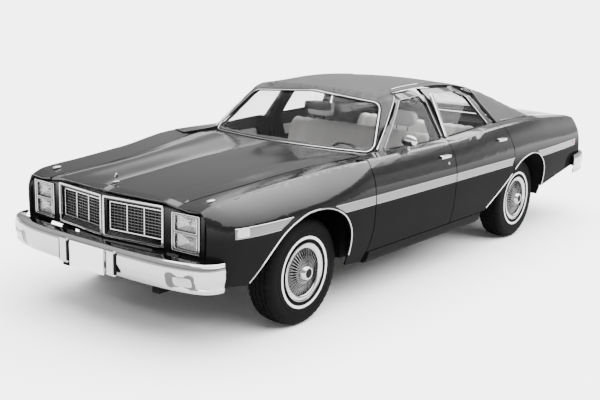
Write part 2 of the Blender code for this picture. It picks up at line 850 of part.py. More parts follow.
# Nose openings: the grilles from the middle out, and the lamps in from the fenders
GRILLE_RAKE = 0.118
LAMP_RAKE = 0.060
NOSE_HALF_X = HALF_WIDTH - 0.219
LAMP_WIDTH = 0.208
LAMP_INNER_X = NOSE_HALF_X - LAMP_WIDTH - 0.030
GRILLE_INNER_X = 0.031
GRILLE_WIDTH = LAMP_INNER_X - 0.061 - GRILLE_INNER_X


def nose_y(x):
    """The station of the nose's front face: a shallow V in plan, turned back at the ends."""
    across, bend = abs(x), LAMP_INNER_X - 0.053
    return NOSE_Y + GRILLE_RAKE * min(across, bend) + LAMP_RAKE * max(0.0, across - bend)


def hood_z(x, y):
    """The hood's outer surface: a sharp middle ridge between two raised bands."""
    edge, middle = hood_edge_z(y), hood_middle_z(y)
    across = min(1.0, abs(x) / hood_edge_x(y))
    crown = edge + (middle - 0.012 - edge) * (1 - across**2)
    ridge = 0.012 * math.exp(-((abs(x) / 0.055) ** 1.2))
    band = 0.007 * math.exp(-(((across - 0.80) / 0.12) ** 2))
    return crown + ridge + band


def make_hood():
    """The hood, a pressed skin with a ridge down its middle, and its two hinge ears."""
    shares = [-1, -0.88, -0.8, -0.68, -0.42, -0.18, -0.08, -0.04]
    shares += [0.0] + [-s for s in reversed(shares)]
    sections = []
    for t in (0.0, 0.03, 0.12, 0.28, 0.46, 0.64, 0.82, 1.0):
        section = []
        for share in shares:
            start = nose_y(share * hood_edge_x(NOSE_Y)) + 0.004
            y = start + (HOOD_REAR_Y - start) * t
            x = share * (hood_edge_x(y) - PANEL_GAP / 2)
            section.append((x, y, hood_z(x, y) - HOOD_LIP * max(0.0, 1 - t / 0.03)))
        sections.append(section)
    hood = shell("hood", sections, HOOD_SKIN, (0, 0, 1))
    finish_object(hood, "paint")


deck_middle_z = smooth_curve(
    (rear(0.300), BELT_Z + 0.040),
    (rear(0.500), BELT_Z + 0.026),
    (rear(0.900), BELT_Z - 0.004),
    (rear(1.150), BELT_Z - 0.028),
    (rear(1.225), BELT_Z - 0.050),
)


def deck_z(x, y):
    """The deck's outer surface, crowned across the car."""
    return deck_middle_z(y) - 0.014 * (x / LID_HALF_X) ** 2


def tail_y(z):
    """The station of the tail's rear face, sloping out downwards."""
    return rear(1.215) + 0.10 * max(0.0, min(1.0, (0.95 - z) / 0.35))


LID_LOW_Z = 0.870


def make_deck_lid():
    """The deck lid: the luggage space's top, turned down at its rear edge."""
    sections = []
    for x in spread(-LID_HALF_X + PANEL_GAP / 2, LID_HALF_X - PANEL_GAP / 2, 9):
        top = [(x, y, deck_z(x, y)) for y in spread(DECK_FRONT_Y, DECK_REAR_Y - 0.020, 6)]
        top.append((x, DECK_REAR_Y, deck_z(x, DECK_REAR_Y) - 0.010))
        top += [(x, tail_y(z), z) for z in (0.91, LID_LOW_Z)]
        sections.append(top)
    lid = shell("deck_lid", sections, HOOD_SKIN, (0, 0, 1))
    finish_object(lid, "paint")


# Body sides
def side_levels(low, high):
    """Heights from the lower edge to the waist, then to the crease."""
    return spread(low, WAIST_Z, 5) + [WAIST_Z + (high - WAIST_Z) * s for s in (0.35, 0.65, 0.86, 1.0)]


def make_fenders():
    """The front fenders, from the nose to the doors, with their tops out to the hood."""
    sections = []
    nose = front(-0.792)
    for share in (0.0, 0.04, 0.10, 0.20, 0.34, 0.48, 0.62, 0.76, 0.88, 1.0):
        section = []

        def station(z):
            return nose + (door_cut_front(z) - DOOR_GAP / 2 - nose) * share

        middle = station(WAIST_Z)
        for z in side_levels(lower_z(middle), crease_z(middle)):
            y = station(z)
            section.append((side_x(y, z), y, z))
        edge_x, edge_z = hood_edge_x(middle) + PANEL_GAP / 2, hood_edge_z(middle)
        ridge = crease_x(middle) - 0.016
        section.append((ridge, middle, crease_z(middle) + 0.008))
        section.append(((ridge + edge_x) / 2, middle, (crease_z(middle) + edge_z) / 2 - 0.004))
        section.append((edge_x, middle, edge_z))
        sections.append(section)
    fender = shell("fender_left", sections, SKIN, (1, 0, 0.3))
    cut(fender, arch_cutter("front_arch", FRONT_ARCH, FRONT_AXLE_Y))
    finish_object(fender, "paint")
    finish_object(mirrored(fender), "paint")


SHOULDER_X = LID_HALF_X + 0.110


def make_quarters():
    """The rear quarter panels, from the doors to the tail, with their tops in to the deck lid."""
    sections = []
    for share in (0.0, 0.08, 0.18, 0.30, 0.42, 0.54, 0.66, 0.78, 0.88, 0.95, 1.0):
        section = []

        def station(z):
            start = door_cut_rear(z) + DOOR_GAP / 2
            return start + (tail_y(z) - start) * share

        middle = station(WAIST_Z)
        for z in side_levels(lower_z(middle), crease_z(station(0.95))):
            y = station(z)
            section.append((side_x(y, z), y, z))
        y = station(crease_z(station(0.95)))
        top = belt_z(y) if y < rear(0.45) else deck_z(LID_HALF_X, y)
        section.append((crease_x(y) - 0.014, y, min(crease_z(y) + 0.012, top)))
        section.append((belt_x(y) + 0.004 if y < rear(0.45) else SHOULDER_X, y, top))
        section.append((LID_HALF_X + PANEL_GAP / 2, y, top))
        sections.append(section)
    quarter = shell("quarter_left", sections, SKIN, (1, 0, 0.3))
    cut(quarter, arch_cutter("rear_arch", REAR_ARCH, REAR_AXLE_Y))
    finish_object(quarter, "paint")
    finish_object(mirrored(quarter), "paint")


# Panels between the main ones
COWL_SKIN = 0.012
COWL_FRONT_GAP = 0.022


def screen_foot_y(x):
    """The station where the windscreen's outer surface comes down to its base."""
    return SCREEN_BASE_Y + SCREEN_SWEEP * (x / 0.746) ** 2


def cowl_z(x, y):
    """The cowl's outer surface, from the hood's height down to the foot of the windscreen."""
    share = ramp(y, HOOD_REAR_Y, screen_foot_y(x))
    return (1 - share) * (hood_z(x, y) - 0.004) + share * (SCREEN_BASE_Z - 0.002)


def make_cowl():
    """The panel from the hood and the fenders to the windscreen, with its wings beside the hood."""
    start = DOOR_FRONT_Y - DOOR_GAP / 2 + 0.006
    sections = []
    for t in (0.0, 0.25, 0.5, 0.7, 0.85, 1.0):
        section = []
        for share in spread(-1.0, 1.0, 13):
            y = start + (screen_foot_y(share * HOOD_CORNER_X) - 0.0015 - start) * t
            x = share * (ledge_x(y) - 0.006)
            section.append((x, y, cowl_z(x, y)))
        sections.append(section)
    cowl = shell("cowl", sections, COWL_SKIN, (0, 0, 1))
    rear_edge = HOOD_REAR_Y + COWL_FRONT_GAP
    under_hood = [(hood_edge_x(y) + PANEL_GAP / 2, y) for y in spread(front(0.55), HOOD_REAR_Y, 4)]
    under_hood.append((under_hood[-1][0], rear_edge))
    under_hood += [(-x, y) for x, y in reversed(under_hood)]
    cut(cowl, plate("hood_opening", under_hood, "Z", 0.8, 1.1))
    finish_object(cowl, "paint")


def make_deck_filler():
    """The strip between the backlight and the deck lid, which carries the roof's rear foot."""
    half = LID_HALF_X + PANEL_GAP / 2 - FIT_GAP
    sections = []
    for y in (rear(0.150), rear(0.250), rear(0.330), DECK_FRONT_Y - 0.0105):
        top = min(belt_z(y), deck_middle_z(y))
        sections.append([(x, y, top) for x in spread(-half, half, 5)])
    filler = shell("deck_filler", sections, SKIN, (0, 0, 1))
    finish_object(filler, "paint")


# Nose: the panel behind the bumper, with its openings for the grilles and headlamps
NOSE_DEPTH = 0.040
NOSE_LOW_Z = 0.560
GRILLE_LOW_Z, GRILLE_HIGH_Z = 0.584, 0.808
GRILLE_TURN = math.atan(GRILLE_RAKE)
LAMP_LOW_Z, LAMP_HIGH_Z = 0.584, 0.810
LAMP_TURN = math.atan(LAMP_RAKE)


def nose_top(x):
    """The nose panel's upper edge, below the hood's lip and the fenders."""
    inner = min(abs(x), hood_edge_x(NOSE_Y) - 0.006)
    return hood_z(inner, nose_y(inner)) - HOOD_LIP - HOOD_SKIN - 0.008


def rectangle(low_a, high_a, low_b, high_b):
    return [(low_a, low_b), (high_a, low_b), (high_a, high_b), (low_a, high_b)]


def placed(obj, inner_x, turn):
    """Moves a front piece, built flat with its face at y = 0, onto the left of the nose."""
    place = Matrix.Translation((inner_x, nose_y(inner_x), 0.0)) @ Matrix.Rotation(turn, 4, "Z")
    obj.data.transform(place)
    return obj


def make_nose():
    """The nose panel, from fender to fender."""
    sections = []
    shares = (0.0, 0.157, 0.392, 0.653, 0.809, 1.0)
    for share in [-s for s in reversed(shares[1:])] + list(shares):
        x = share * NOSE_HALF_X
        y, top = nose_y(x), nose_top(x)
        section = [(x, y, NOSE_LOW_Z), (x, y, top - 0.006), (x, y + 0.006, top)]
        section += [(x, y + NOSE_DEPTH, top), (x, y + NOSE_DEPTH, NOSE_LOW_Z)]
        sections.append(section)
    nose = loft("nose_panel", sections)
    holes = (
        (GRILLE_INNER_X, GRILLE_WIDTH, GRILLE_LOW_Z, GRILLE_HIGH_Z, GRILLE_TURN),
        (LAMP_INNER_X, LAMP_WIDTH, LAMP_LOW_Z, LAMP_HIGH_Z, LAMP_TURN),
    )
    for inner_x, width, low_z, high_z, turn in holes:
        outline = rounded(rectangle(0.0, width, low_z, high_z), 0.010, 2)
        hole = plate("nose_hole", shrunk(outline, -FIT_GAP), "Y", -0.05, 0.10)
        placed(hole, inner_x, turn)
        cut(nose, hole, copy_of(hole, "nose_hole_right", MIRROR_X))
    finish_object(nose, "paint")


GRILLE_RIM = 0.016
GRILLE_COLUMNS = 3
GRILLE_ROWS = 8
INSERT_DEPTH = 0.030
INSERT_HEIGHT = 0.158
SILL_RISE = 0.022


def make_grilles():
    """The two grilles: a bright rim, a sloping sill, and a lattice set back between them."""
    outline = rounded(rectangle(0.0, GRILLE_WIDTH, GRILLE_LOW_Z, GRILLE_HIGH_Z), 0.010, 2)
    inside = rectangle(
        GRILLE_RIM, GRILLE_WIDTH - GRILLE_RIM, GRILLE_LOW_Z + GRILLE_RIM, GRILLE_HIGH_Z - GRILLE_RIM
    )
    grille = plate("grille_left", outline, "Y", -0.006, INSERT_DEPTH + 0.016, [rounded(inside, 0.006, 2)])
    low = GRILLE_LOW_Z + GRILLE_RIM + SILL_RISE
    left, right = GRILLE_RIM - 0.002, GRILLE_WIDTH - GRILLE_RIM + 0.002
    post, bar = 0.009, 0.0050
    column = (right - left - post * (GRILLE_COLUMNS + 1)) / GRILLE_COLUMNS
    row = (INSERT_HEIGHT - bar * (GRILLE_ROWS + 1)) / GRILLE_ROWS
    holes = []
    for i in range(GRILLE_COLUMNS):
        x = left + post + (column + post) * i
        for k in range(GRILLE_ROWS):
            z = low + bar + (row + bar) * k
            holes.append(rectangle(x, x + column, z, z + row))
    lattice = plate(
        "lattice",
        rectangle(left, right, low, low + INSERT_HEIGHT),
        "Y",
        INSERT_DEPTH,
        INSERT_DEPTH + 0.010,
        holes,
    )
    base = GRILLE_LOW_Z + GRILLE_RIM - 0.002
    slope = [(0.002, base), (0.002, base + 0.004), (INSERT_DEPTH + 0.001, low + 0.002)]
    slope += [(INSERT_DEPTH + 0.008, low + 0.002), (INSERT_DEPTH + 0.008, base)]
    join(grille, lattice, plate("sill", slope, "X", left, right))
    placed(grille, GRILLE_INNER_X, GRILLE_TURN)
    finish_object(grille, "chrome")
    finish_object(mirrored(grille), "chrome")


LENS_WIDTH = 0.166
LENS_HEIGHT = 0.092
LENS_SETBACK = 0.012


def make_headlamps():
    """The stacked headlamps, two rectangular lenses set back in one bezel on each side."""
    outline = rounded(rectangle(0.0, LAMP_WIDTH, LAMP_LOW_Z, LAMP_HIGH_Z), 0.010, 2)
    side = (LAMP_WIDTH - LENS_WIDTH) / 2
    gap = (LAMP_HIGH_Z - LAMP_LOW_Z - 2 * LENS_HEIGHT) / 3
    holes, lenses = [], []
    for i in range(2):
        z = LAMP_LOW_Z + gap + (LENS_HEIGHT + gap) * i
        opening = rounded(rectangle(side, side + LENS_WIDTH, z, z + LENS_HEIGHT), 0.008, 2)
        holes.append(opening)
        lenses.append(plate(f"lens_{i}", shrunk(opening, -0.003), "Y", LENS_SETBACK, 0.030))
    lamps = plate("headlamps_left", outline, "Y", -0.006, 0.034, holes)
    join(lamps, *lenses)
    placed(lamps, LAMP_INNER_X, LAMP_TURN)
    finish_object(lamps, "lamp")
    finish_object(mirrored(lamps), "lamp")


# Bumpers: one section carried around the car's end
GUARD_PROUD = 0.0085
FRONT_FACE_Y = -LENGTH / 2 + GUARD_PROUD
REAR_FACE_Y = LENGTH / 2 - GUARD_PROUD
FRONT_BUMPER_PATH = [
    (0.0, FRONT_FACE_Y, 1.0),
    (HALF_WIDTH - 0.685, FRONT_FACE_Y + 0.0020, 1.0),
    (HALF_WIDTH - 0.435, FRONT_FACE_Y + 0.0125, 1.0),
    (HALF_WIDTH - 0.245, FRONT_FACE_Y + 0.0465, 0.8),
    (HALF_WIDTH - 0.125, FRONT_FACE_Y + 0.1015, 0.6),
    (HALF_WIDTH - 0.055, FRONT_FACE_Y + 0.1765, 0.45),
    (HALF_WIDTH - 0.025, FRONT_FACE_Y + 0.2565, 0.40),
    (HALF_WIDTH - 0.015, FRONT_FACE_Y + 0.3265, 0.40),
]
REAR_BUMPER_PATH = [
    (0.0, REAR_FACE_Y, 1.0),
    (HALF_WIDTH - 0.665, REAR_FACE_Y - 0.0020, 1.0),
    (HALF_WIDTH - 0.405, REAR_FACE_Y - 0.0135, 1.0),
    (HALF_WIDTH - 0.225, REAR_FACE_Y - 0.0485, 0.8),
    (HALF_WIDTH - 0.115, REAR_FACE_Y - 0.1185, 0.6),
    (HALF_WIDTH - 0.057, REAR_FACE_Y - 0.2185, 0.30),
    (HALF_WIDTH - 0.033, REAR_FACE_Y - 0.3485, 0.26),
    (HALF_WIDTH - 0.027, REAR_FACE_Y - 0.4985, 0.26),
]
BUMPER_SECTION = [
    (0.095, 0.574),
    (0.030, 0.570),
    (0.008, 0.556),
    (0.000, 0.530),
    (0.000, 0.478),
    (0.014, 0.430),
    (0.032, 0.396),
    (0.044, 0.396),
    (0.016, 0.482),
    (0.018, 0.530),
    (0.095, 0.562),
]
REAR_BUMPER_RISE = 0.030
RAIL_X = (0.380, 0.440)


def bumper(name, path, rise, outward):
    """The bumper's section carried along its path, from the right end to the left."""
    whole = [(-x, y, reach) for x, y, reach in reversed(path[1:])] + path
    sections = []
    for i, (x, y, reach) in enumerate(whole):
        before, after = whole[max(i - 1, 0)], whole[min(i + 1, len(whole) - 1)]
        along = Vector((after[0] - before[0], after[1] - before[1])).normalized()
        inward = Vector((-along.y, along.x)) * -outward
        section = []
        for depth, z in BUMPER_SECTION:
            point = Vector((x, y)) + inward * depth * (reach if depth > 0.016 else 1.0)
            section.append((point.x, point.y, z + rise))
        sections.append(section)
    return loft(name, sections)


BRACKET_Z = (0.475, 0.505)
GUARD_X = 0.213
GUARD_WIDTH = 0.080
GUARD_Z = (0.400, 0.555)
NUMBER_PLATE_WIDTH = 0.304
NUMBER_PLATE_Z = (0.392, 0.546)


def make_bumpers():
    """The bumpers with their guards, and the blank number plate between the front ones."""
    for name, path, rise, outward in (
        ("front_bumper", FRONT_BUMPER_PATH, 0.0, -1.0),
        ("rear_bumper", REAR_BUMPER_PATH, REAR_BUMPER_RISE, 1.0),
    ):
        beam = bumper(name, path, rise, outward)
        face = path[0][1]
        tip = -LENGTH / 2 if outward < 0 else LENGTH / 2
        for side in (-1, 1):
            x = side * GUARD_X
            y_low, y_high = sorted((tip, face - outward * 0.012))
            guard = box(
                "guard",
                (x - GUARD_WIDTH / 2, y_low, GUARD_Z[0] + rise),
                (x + GUARD_WIDTH / 2, y_high, GUARD_Z[1] + rise),
                0.006,
            )
            low_x, high_x = sorted((side * RAIL_X[0], side * RAIL_X[1]))
            end = RAIL_FRONT_Y if outward < 0 else RAIL_REAR_Y
            y_low, y_high = sorted((end + outward * FIT_GAP, face - outward * 0.012))
            bracket = box("bracket", (low_x, y_low, BRACKET_Z[0]), (high_x, y_high, BRACKET_Z[1]))
            join(beam, guard, bracket)
        finish_object(beam, "chrome")
    sheet = box(
        "number_plate",
        (-NUMBER_PLATE_WIDTH / 2, -LENGTH / 2 + 0.002, NUMBER_PLATE_Z[0]),
        (NUMBER_PLATE_WIDTH / 2, FRONT_FACE_Y - FIT_GAP, NUMBER_PLATE_Z[1]),
    )
    finish_object(sheet, "plate")


# Tail
TAIL_LOW_Z = 0.5604
TAIL_RECESS = 0.018
TAIL_WALL = 0.030
TAIL_LAMP_X = (HALF_WIDTH - 0.555, HALF_WIDTH - 0.155)
TAIL_LAMP_Z = (0.655, 0.835)


def make_tail():
    """The tail panel and its two wide lamps."""
    sections = []
    heights = (TAIL_LOW_Z, 0.70, LID_LOW_Z - PANEL_GAP)
    for share in spread(-1.0, 1.0, 7):
        outer, inner = [], []
        for z in heights:
            half = side_x(tail_y(z), z) - SKIN - 0.004
            outer.append((share * half, tail_y(z) - TAIL_RECESS, z))
            inner.append((share * half, tail_y(z) - TAIL_RECESS - TAIL_WALL, z))
        sections.append(outer + inner[::-1])
    panel = loft("tail_panel", sections)
    lean = math.atan2(0.10, 0.35)
    pieces = (("lamp_hole", -FIT_GAP, -0.10, 0.10), ("tail_lamp_left", 0.0, -0.026, 0.012))
    for obj_name, inset, low, high in pieces:
        outline = rounded(rectangle(*TAIL_LAMP_X, *TAIL_LAMP_Z), 0.012, 2)
        made = plate(obj_name, shrunk(outline, inset), "Y", low, high)
        middle = (TAIL_LAMP_Z[0] + TAIL_LAMP_Z[1]) / 2
        centre = Vector((0.0, tail_y(middle) - TAIL_RECESS, middle))
        turn = Matrix.Translation(centre) @ Matrix.Rotation(lean, 4, "X") @ Matrix.Translation((0, 0, -middle))
        made.data.transform(turn)
        if obj_name == "lamp_hole":
            cut(panel, made, copy_of(made, "lamp_hole_right", MIRROR_X))
        else:
            finish_object(made, "tail_lamp")
            finish_object(mirrored(made), "tail_lamp")
    finish_object(panel, "paint")


# Floor and inner structure
FLOOR_Z = (0.285, 0.305)
REAR_FLOOR_Z = (0.500, 0.520)
KICK_Y = rear(-0.490)
KICK_WALL = 0.012
RAIL_Z = (0.300, 0.400)
RAIL_FRONT_Y = front(-0.810)
RAIL_REAR_Y = rear(1.330)
REAR_RAIL_X = (0.460, 0.520)
REAR_RAIL_Z = 0.400
TUNNEL_X = 0.160
TUNNEL_TOP_Z = 0.500
TUNNEL_WALL = 0.014
APRON_X = (0.435, 0.455)
CORE_SUPPORT_Y = (front(-0.690), front(-0.630))
HORN_Z = NOSE_LOW_Z - FIT_GAP
WELL_RADIUS = 0.430
WELL_WALL = 0.008
WELL_X = (HALF_TRACK - 0.172, HALF_WIDTH - 0.161)
WELL_CENTRE = (REAR_AXLE_Y, TYRE_RADIUS)
FLOOR_END_Y = rear(1.270)
BULKHEAD_Y = (rear(-0.175), rear(-0.163))
SHELF_Z = (0.968, 0.980)
FIREWALL_TOP_Z = 0.930
FIREWALL_WALL = 0.014


def sill(name, low_y, high_y):
    """The left rocker, from the fender to the rear wheel opening, below the doors."""
    top, low = DOOR_BOTTOM_Z - 0.008, FLOOR_Z[0] - 0.012
    sections = []
    for y in spread(low_y, high_y, 5):
        section = [(side_x(y, top) - 0.001, y, top), (side_x(y, 0.33), y, 0.33)]
        section += [(side_x(y, SILL_BOTTOM_Z), y, SILL_BOTTOM_Z), (DOOR_INNER_X + 0.070, y, low)]
        section += [(DOOR_INNER_X - 0.050, y, low), (DOOR_INNER_X - 0.050, y, top)]
        sections.append(section)
    return loft(name, sections)


def post(name, edge_y, low_z):
    """A left hinge post with the two arms and barrels that carry a door."""
    made = box(name, (POST_X - POST_DEPTH, edge_y - 0.055, low_z), (POST_X, edge_y + 0.150, 0.840))
    axis_y = hinge_y(edge_y)
    for z in HINGE_HEIGHTS:
        arm = box("arm", (POST_X - 0.004, axis_y - 0.006, z - 0.018), (HINGE_X, axis_y + 0.006, z + 0.018))
        ends = (HINGE_X, axis_y, z - BARREL_HALF), (HINGE_X, axis_y, z + BARREL_HALF)
        join(made, arm, rod("barrel", *ends, BARREL_RADIUS, 12))
    return made


def pillar_top():
    """The upper part of the left centre pillar, between the door frames, leaning in with the glass."""
    sections = []
    levels = ((0.820, 0.110, 0.036), (1.000, 0.100, 0.066), (1.100, 0.096, 0.050), (1.220, 0.092, 0.042))
    levels += ((1.305, 0.090, 0.102),)
    for z, wide, inset in levels:
        outer = SIDE_BASE_X - SIDE_LEAN * (z - BELT_Z) - inset
        outer = min(outer, POST_X - 0.002) if z < 0.9 else outer
        inner = outer - 0.040
        middle = DOOR_SPLIT_Y + 0.006 + 0.10 * max(0.0, z - BELT_Z)
        low, high = middle - wide / 2, middle + wide / 2
        sections.append([(outer, low, z), (outer, high, z), (inner, high, z), (inner, low, z)])
    return loft("pillar_top", sections)


def join_both(body, *pieces):
    """Joins left-hand pieces and their right-hand copies to a body."""
    for piece in pieces:
        join(body, copy_of(piece, piece.name + "_right", MIRROR_X), piece)
    return body


def shaft_passage():
    """The space in the tunnel, which the propeller shaft runs through."""
    reach = TUNNEL_X - TUNNEL_WALL
    return box(
        "shaft_passage",
        (-reach, FIREWALL_Y - 0.05, 0.20),
        (reach, KICK_Y + 0.05, TUNNEL_TOP_Z - TUNNEL_WALL),
    )


def make_underbody():
    """The cabin's floor and tunnel with the firewall, the sills and the front hinge posts."""
    floor_x, wall_x = DOOR_INNER_X - 0.040, POST_X - POST_DEPTH - 0.002
    end_y = KICK_Y - FIT_GAP
    body = box("underbody", (-floor_x, FIREWALL_Y, FLOOR_Z[0]), (floor_x, end_y, FLOOR_Z[1]))
    tunnel_low, tunnel_high = FLOOR_Z[0] + 0.003, TUNNEL_TOP_Z
    wall_y = (FIREWALL_Y - 0.001, FIREWALL_Y + FIREWALL_WALL)
    join(
        body,
        box("tunnel", (-TUNNEL_X, FIREWALL_Y + 0.002, tunnel_low), (TUNNEL_X, end_y - 0.001, tunnel_high)),
        box("firewall", (-wall_x, wall_y[0], FLOOR_Z[0] + 0.004), (wall_x, wall_y[1], FIREWALL_TOP_Z)),
    )
    join_both(
        body,
        sill("sill", DOOR_FRONT_Y + 0.003, rear(-0.775)),
        post("front_post", DOOR_FRONT_Y, FLOOR_Z[0] + 0.002),
    )
    cut(body, shaft_passage())
    finish_object(body, "underbody")


def make_centre_pillars():
    """The pillars between the doors, each standing on the floor and carrying a rear door."""
    pillar = post("centre_pillar_left", DOOR_SPLIT_Y, FLOOR_Z[1] + FIT_GAP)
    join(pillar, pillar_top())
    finish_object(pillar, "underbody")
    finish_object(mirrored(pillar), "underbody")


def make_front_frame():
    """The front rails with their horns and aprons, tied together under the radiator."""
    end_y = FIREWALL_Y - 0.001 - FIT_GAP
    reach = RAIL_X[0] + 0.010
    frame = box(
        "front_frame",
        (-reach, CORE_SUPPORT_Y[0], RAIL_Z[1] - 0.045),
        (reach, CORE_SUPPORT_Y[1], RAIL_Z[1] - 0.002),
    )
    join_both(
        frame,
        box("rail", (RAIL_X[0], RAIL_FRONT_Y, RAIL_Z[0]), (RAIL_X[1], end_y, RAIL_Z[1])),
        box("rail_horn", (RAIL_X[0], RAIL_FRONT_Y, RAIL_Z[1] - 0.01), (RAIL_X[1], front(-0.750), HORN_Z)),
        box("apron", (APRON_X[0], front(-0.650), RAIL_Z[1] - 0.02), (APRON_X[1], end_y, 0.800)),
    )
    for side in (-1, 1):
        low_x, high_x = sorted((side * RAIL_X[1], side * (APRON_X[1] + 0.01)))
        tower_low, tower_high = FRONT_AXLE_Y - 0.075, FRONT_AXLE_Y + 0.075
        cut(frame, box("tower_space", (low_x, tower_low, 0.30), (high_x, tower_high, 0.570)))
    finish_object(frame, "underbody")


def make_rear_floor():
    """The raised rear floor: kick wall, rails, wheel wells, seat bulkhead, parcel shelf and tail wall."""
    low_z, high_z = REAR_FLOOR_Z
    floor_x, wall_x, kick_x = WELL_X[0] + 0.005, WELL_X[0] - 0.015, DOOR_INNER_X - 0.050
    shelf_x = LID_HALF_X - 0.010
    floor = box("rear_floor", (-floor_x, KICK_Y, low_z), (floor_x, FLOOR_END_Y, high_z))
    join(
        floor,
        box("kick_wall", (-kick_x, KICK_Y, FLOOR_Z[0] + 0.001), (kick_x, KICK_Y + KICK_WALL, high_z - 0.001)),
        box("tail_wall", (-wall_x, FLOOR_END_Y - 0.020, low_z + 0.002), (wall_x, FLOOR_END_Y + 0.030, 0.560)),
        box("seat_bulkhead", (-wall_x, BULKHEAD_Y[0], low_z + 0.003), (wall_x, BULKHEAD_Y[1], SHELF_Z[0] + 0.007)),
        box("parcel_shelf", (-shelf_x, rear(-0.178), SHELF_Z[0]), (shelf_x, rear(0.260), SHELF_Z[1])),
    )
    well_ends = (WELL_X[0] - 0.010, *WELL_CENTRE), (WELL_X[1], *WELL_CENTRE)
    join_both(
        floor,
        box("rear_rail", (REAR_RAIL_X[0], KICK_Y, REAR_RAIL_Z), (REAR_RAIL_X[1], FLOOR_END_Y - 0.02, low_z + 0.005)),
        box("rear_horn", (RAIL_X[0], FLOOR_END_Y - 0.20, 0.470), (REAR_RAIL_X[1], RAIL_REAR_Y, low_z + 0.006)),
        box("side_wall", (wall_x, rear(0.40), low_z + 0.004), (floor_x + 0.002, rear(1.235), 0.680)),
        rod("well", *well_ends, WELL_RADIUS + WELL_WALL, 20),
    )
    cut(floor, shaft_passage())
    for side in (-1, 1):
        low_x, high_x = sorted((side * wall_x, side * 1.05))
        start, end = REAR_AXLE_Y - 0.45, REAR_AXLE_Y + 0.45
        space_ends = (side * WELL_X[0], *WELL_CENTRE), (side * 1.05, *WELL_CENTRE)
        cut(
            floor,
            box("axle_space", (low_x, start, -0.20), (high_x, end, 0.440)),
            rod("well_space", *space_ends, WELL_RADIUS, 20),
        )
    finish_object(floor, "underbody")


def add_brackets():
    """Joins the brackets that carry the fenders and quarters on the inner structure."""
    for name, stations, inner, height in (
        ("fender", (front(-0.50), front(0.45)), APRON_X[1], 0.780),
        ("quarter", (rear(0.55), rear(1.05)), WELL_X[0] + 0.007, 0.640),
    ):
        for side, word in ((1, "left"), (-1, "right")):
            panel = bpy.data.objects[f"{name}_{word}"]
            for y in stations:
                outer = side_x(y, height) - 0.004
                low_x, high_x = sorted((side * (inner + FIT_GAP), side * outer))
                join(panel, box("bracket", (low_x, y - 0.02, height - 0.012), (high_x, y + 0.02, height)))


# Running gear
AXLE_Z = TYRE_RADIUS
CROSSMEMBER_TOP_Z = 0.285


def make_front_suspension():
    """The crossmember with its lower and upper arms, which hold the knuckles."""
    beam = box(
        "front_suspension",
        (-0.430, FRONT_AXLE_Y - 0.070, 0.200),
        (0.430, FRONT_AXLE_Y + 0.070, CROSSMEMBER_TOP_Z),
        0.008,
    )
    for side in (-1, 1):
        inner, tower, ball = side * 0.400, side * (RAIL_X[1] + FIT_GAP), side * KINGPIN_X
        lower = [
            (inner, FRONT_AXLE_Y - 0.060),
            (ball, FRONT_AXLE_Y - 0.030),
            (ball + side * 0.028, FRONT_AXLE_Y),
            (ball, FRONT_AXLE_Y + 0.030),
            (inner, FRONT_AXLE_Y + 0.060),
        ]
        upper = [
            (tower, FRONT_AXLE_Y - 0.060),
            (ball, FRONT_AXLE_Y - 0.022),
            (ball + side * 0.016, FRONT_AXLE_Y),
            (ball, FRONT_AXLE_Y + 0.022),
            (tower, FRONT_AXLE_Y + 0.060),
        ]
        tower_x = sorted((tower, side * 0.470))
        foot_x = sorted((side * 0.410, side * 0.470))
        join(
            beam,
            plate("lower_arm", lower, "Z", 0.215, KNUCKLE_Z[0] - FIT_GAP),
            box("tower", (tower_x[0], FRONT_AXLE_Y - 0.058, 0.230), (tower_x[1], FRONT_AXLE_Y + 0.058, 0.545)),
            plate("upper_arm", upper, "Z", KNUCKLE_Z[1] + FIT_GAP, 0.520),
            box("tower_foot", (foot_x[0], FRONT_AXLE_Y - 0.05, 0.225), (foot_x[1], FRONT_AXLE_Y + 0.05, 0.280)),
        )
    finish_object(beam, "cast_iron")


KNUCKLE_Z = (0.2454, 0.4996)
DRUM_RADIUS = 0.135
DRUM_X = HALF_TRACK - 0.064
SPINDLE_X = HALF_TRACK + 0.0496


def make_knuckles():
    """The steering knuckles: an upright on the kingpin line, a brake drum and a spindle."""
    axle = Vector((0.0, FRONT_AXLE_Y, AXLE_Z))
    made = rod(
        "knuckle_left", (KINGPIN_X, FRONT_AXLE_Y, KNUCKLE_Z[0]), (KINGPIN_X, FRONT_AXLE_Y, KNUCKLE_Z[1]), 0.022, 12
    )
    join(
        made,
        rod("stub", axle + Vector((KINGPIN_X, 0, 0)), axle + Vector((HALF_TRACK - 0.050, 0, 0)), 0.034, 12),
        rod("drum", axle + Vector((DRUM_X, 0, 0)), axle + Vector((HALF_TRACK, 0, 0)), DRUM_RADIUS, 20),
        rod("spindle", axle + Vector((DRUM_X, 0, 0)), axle + Vector((SPINDLE_X, 0, 0)), SPINDLE_RADIUS, 12),
    )
    finish_object(made, "cast_iron")
    finish_object(mirrored(made), "cast_iron")


SHAFT_FRONT_Y = front(1.420)


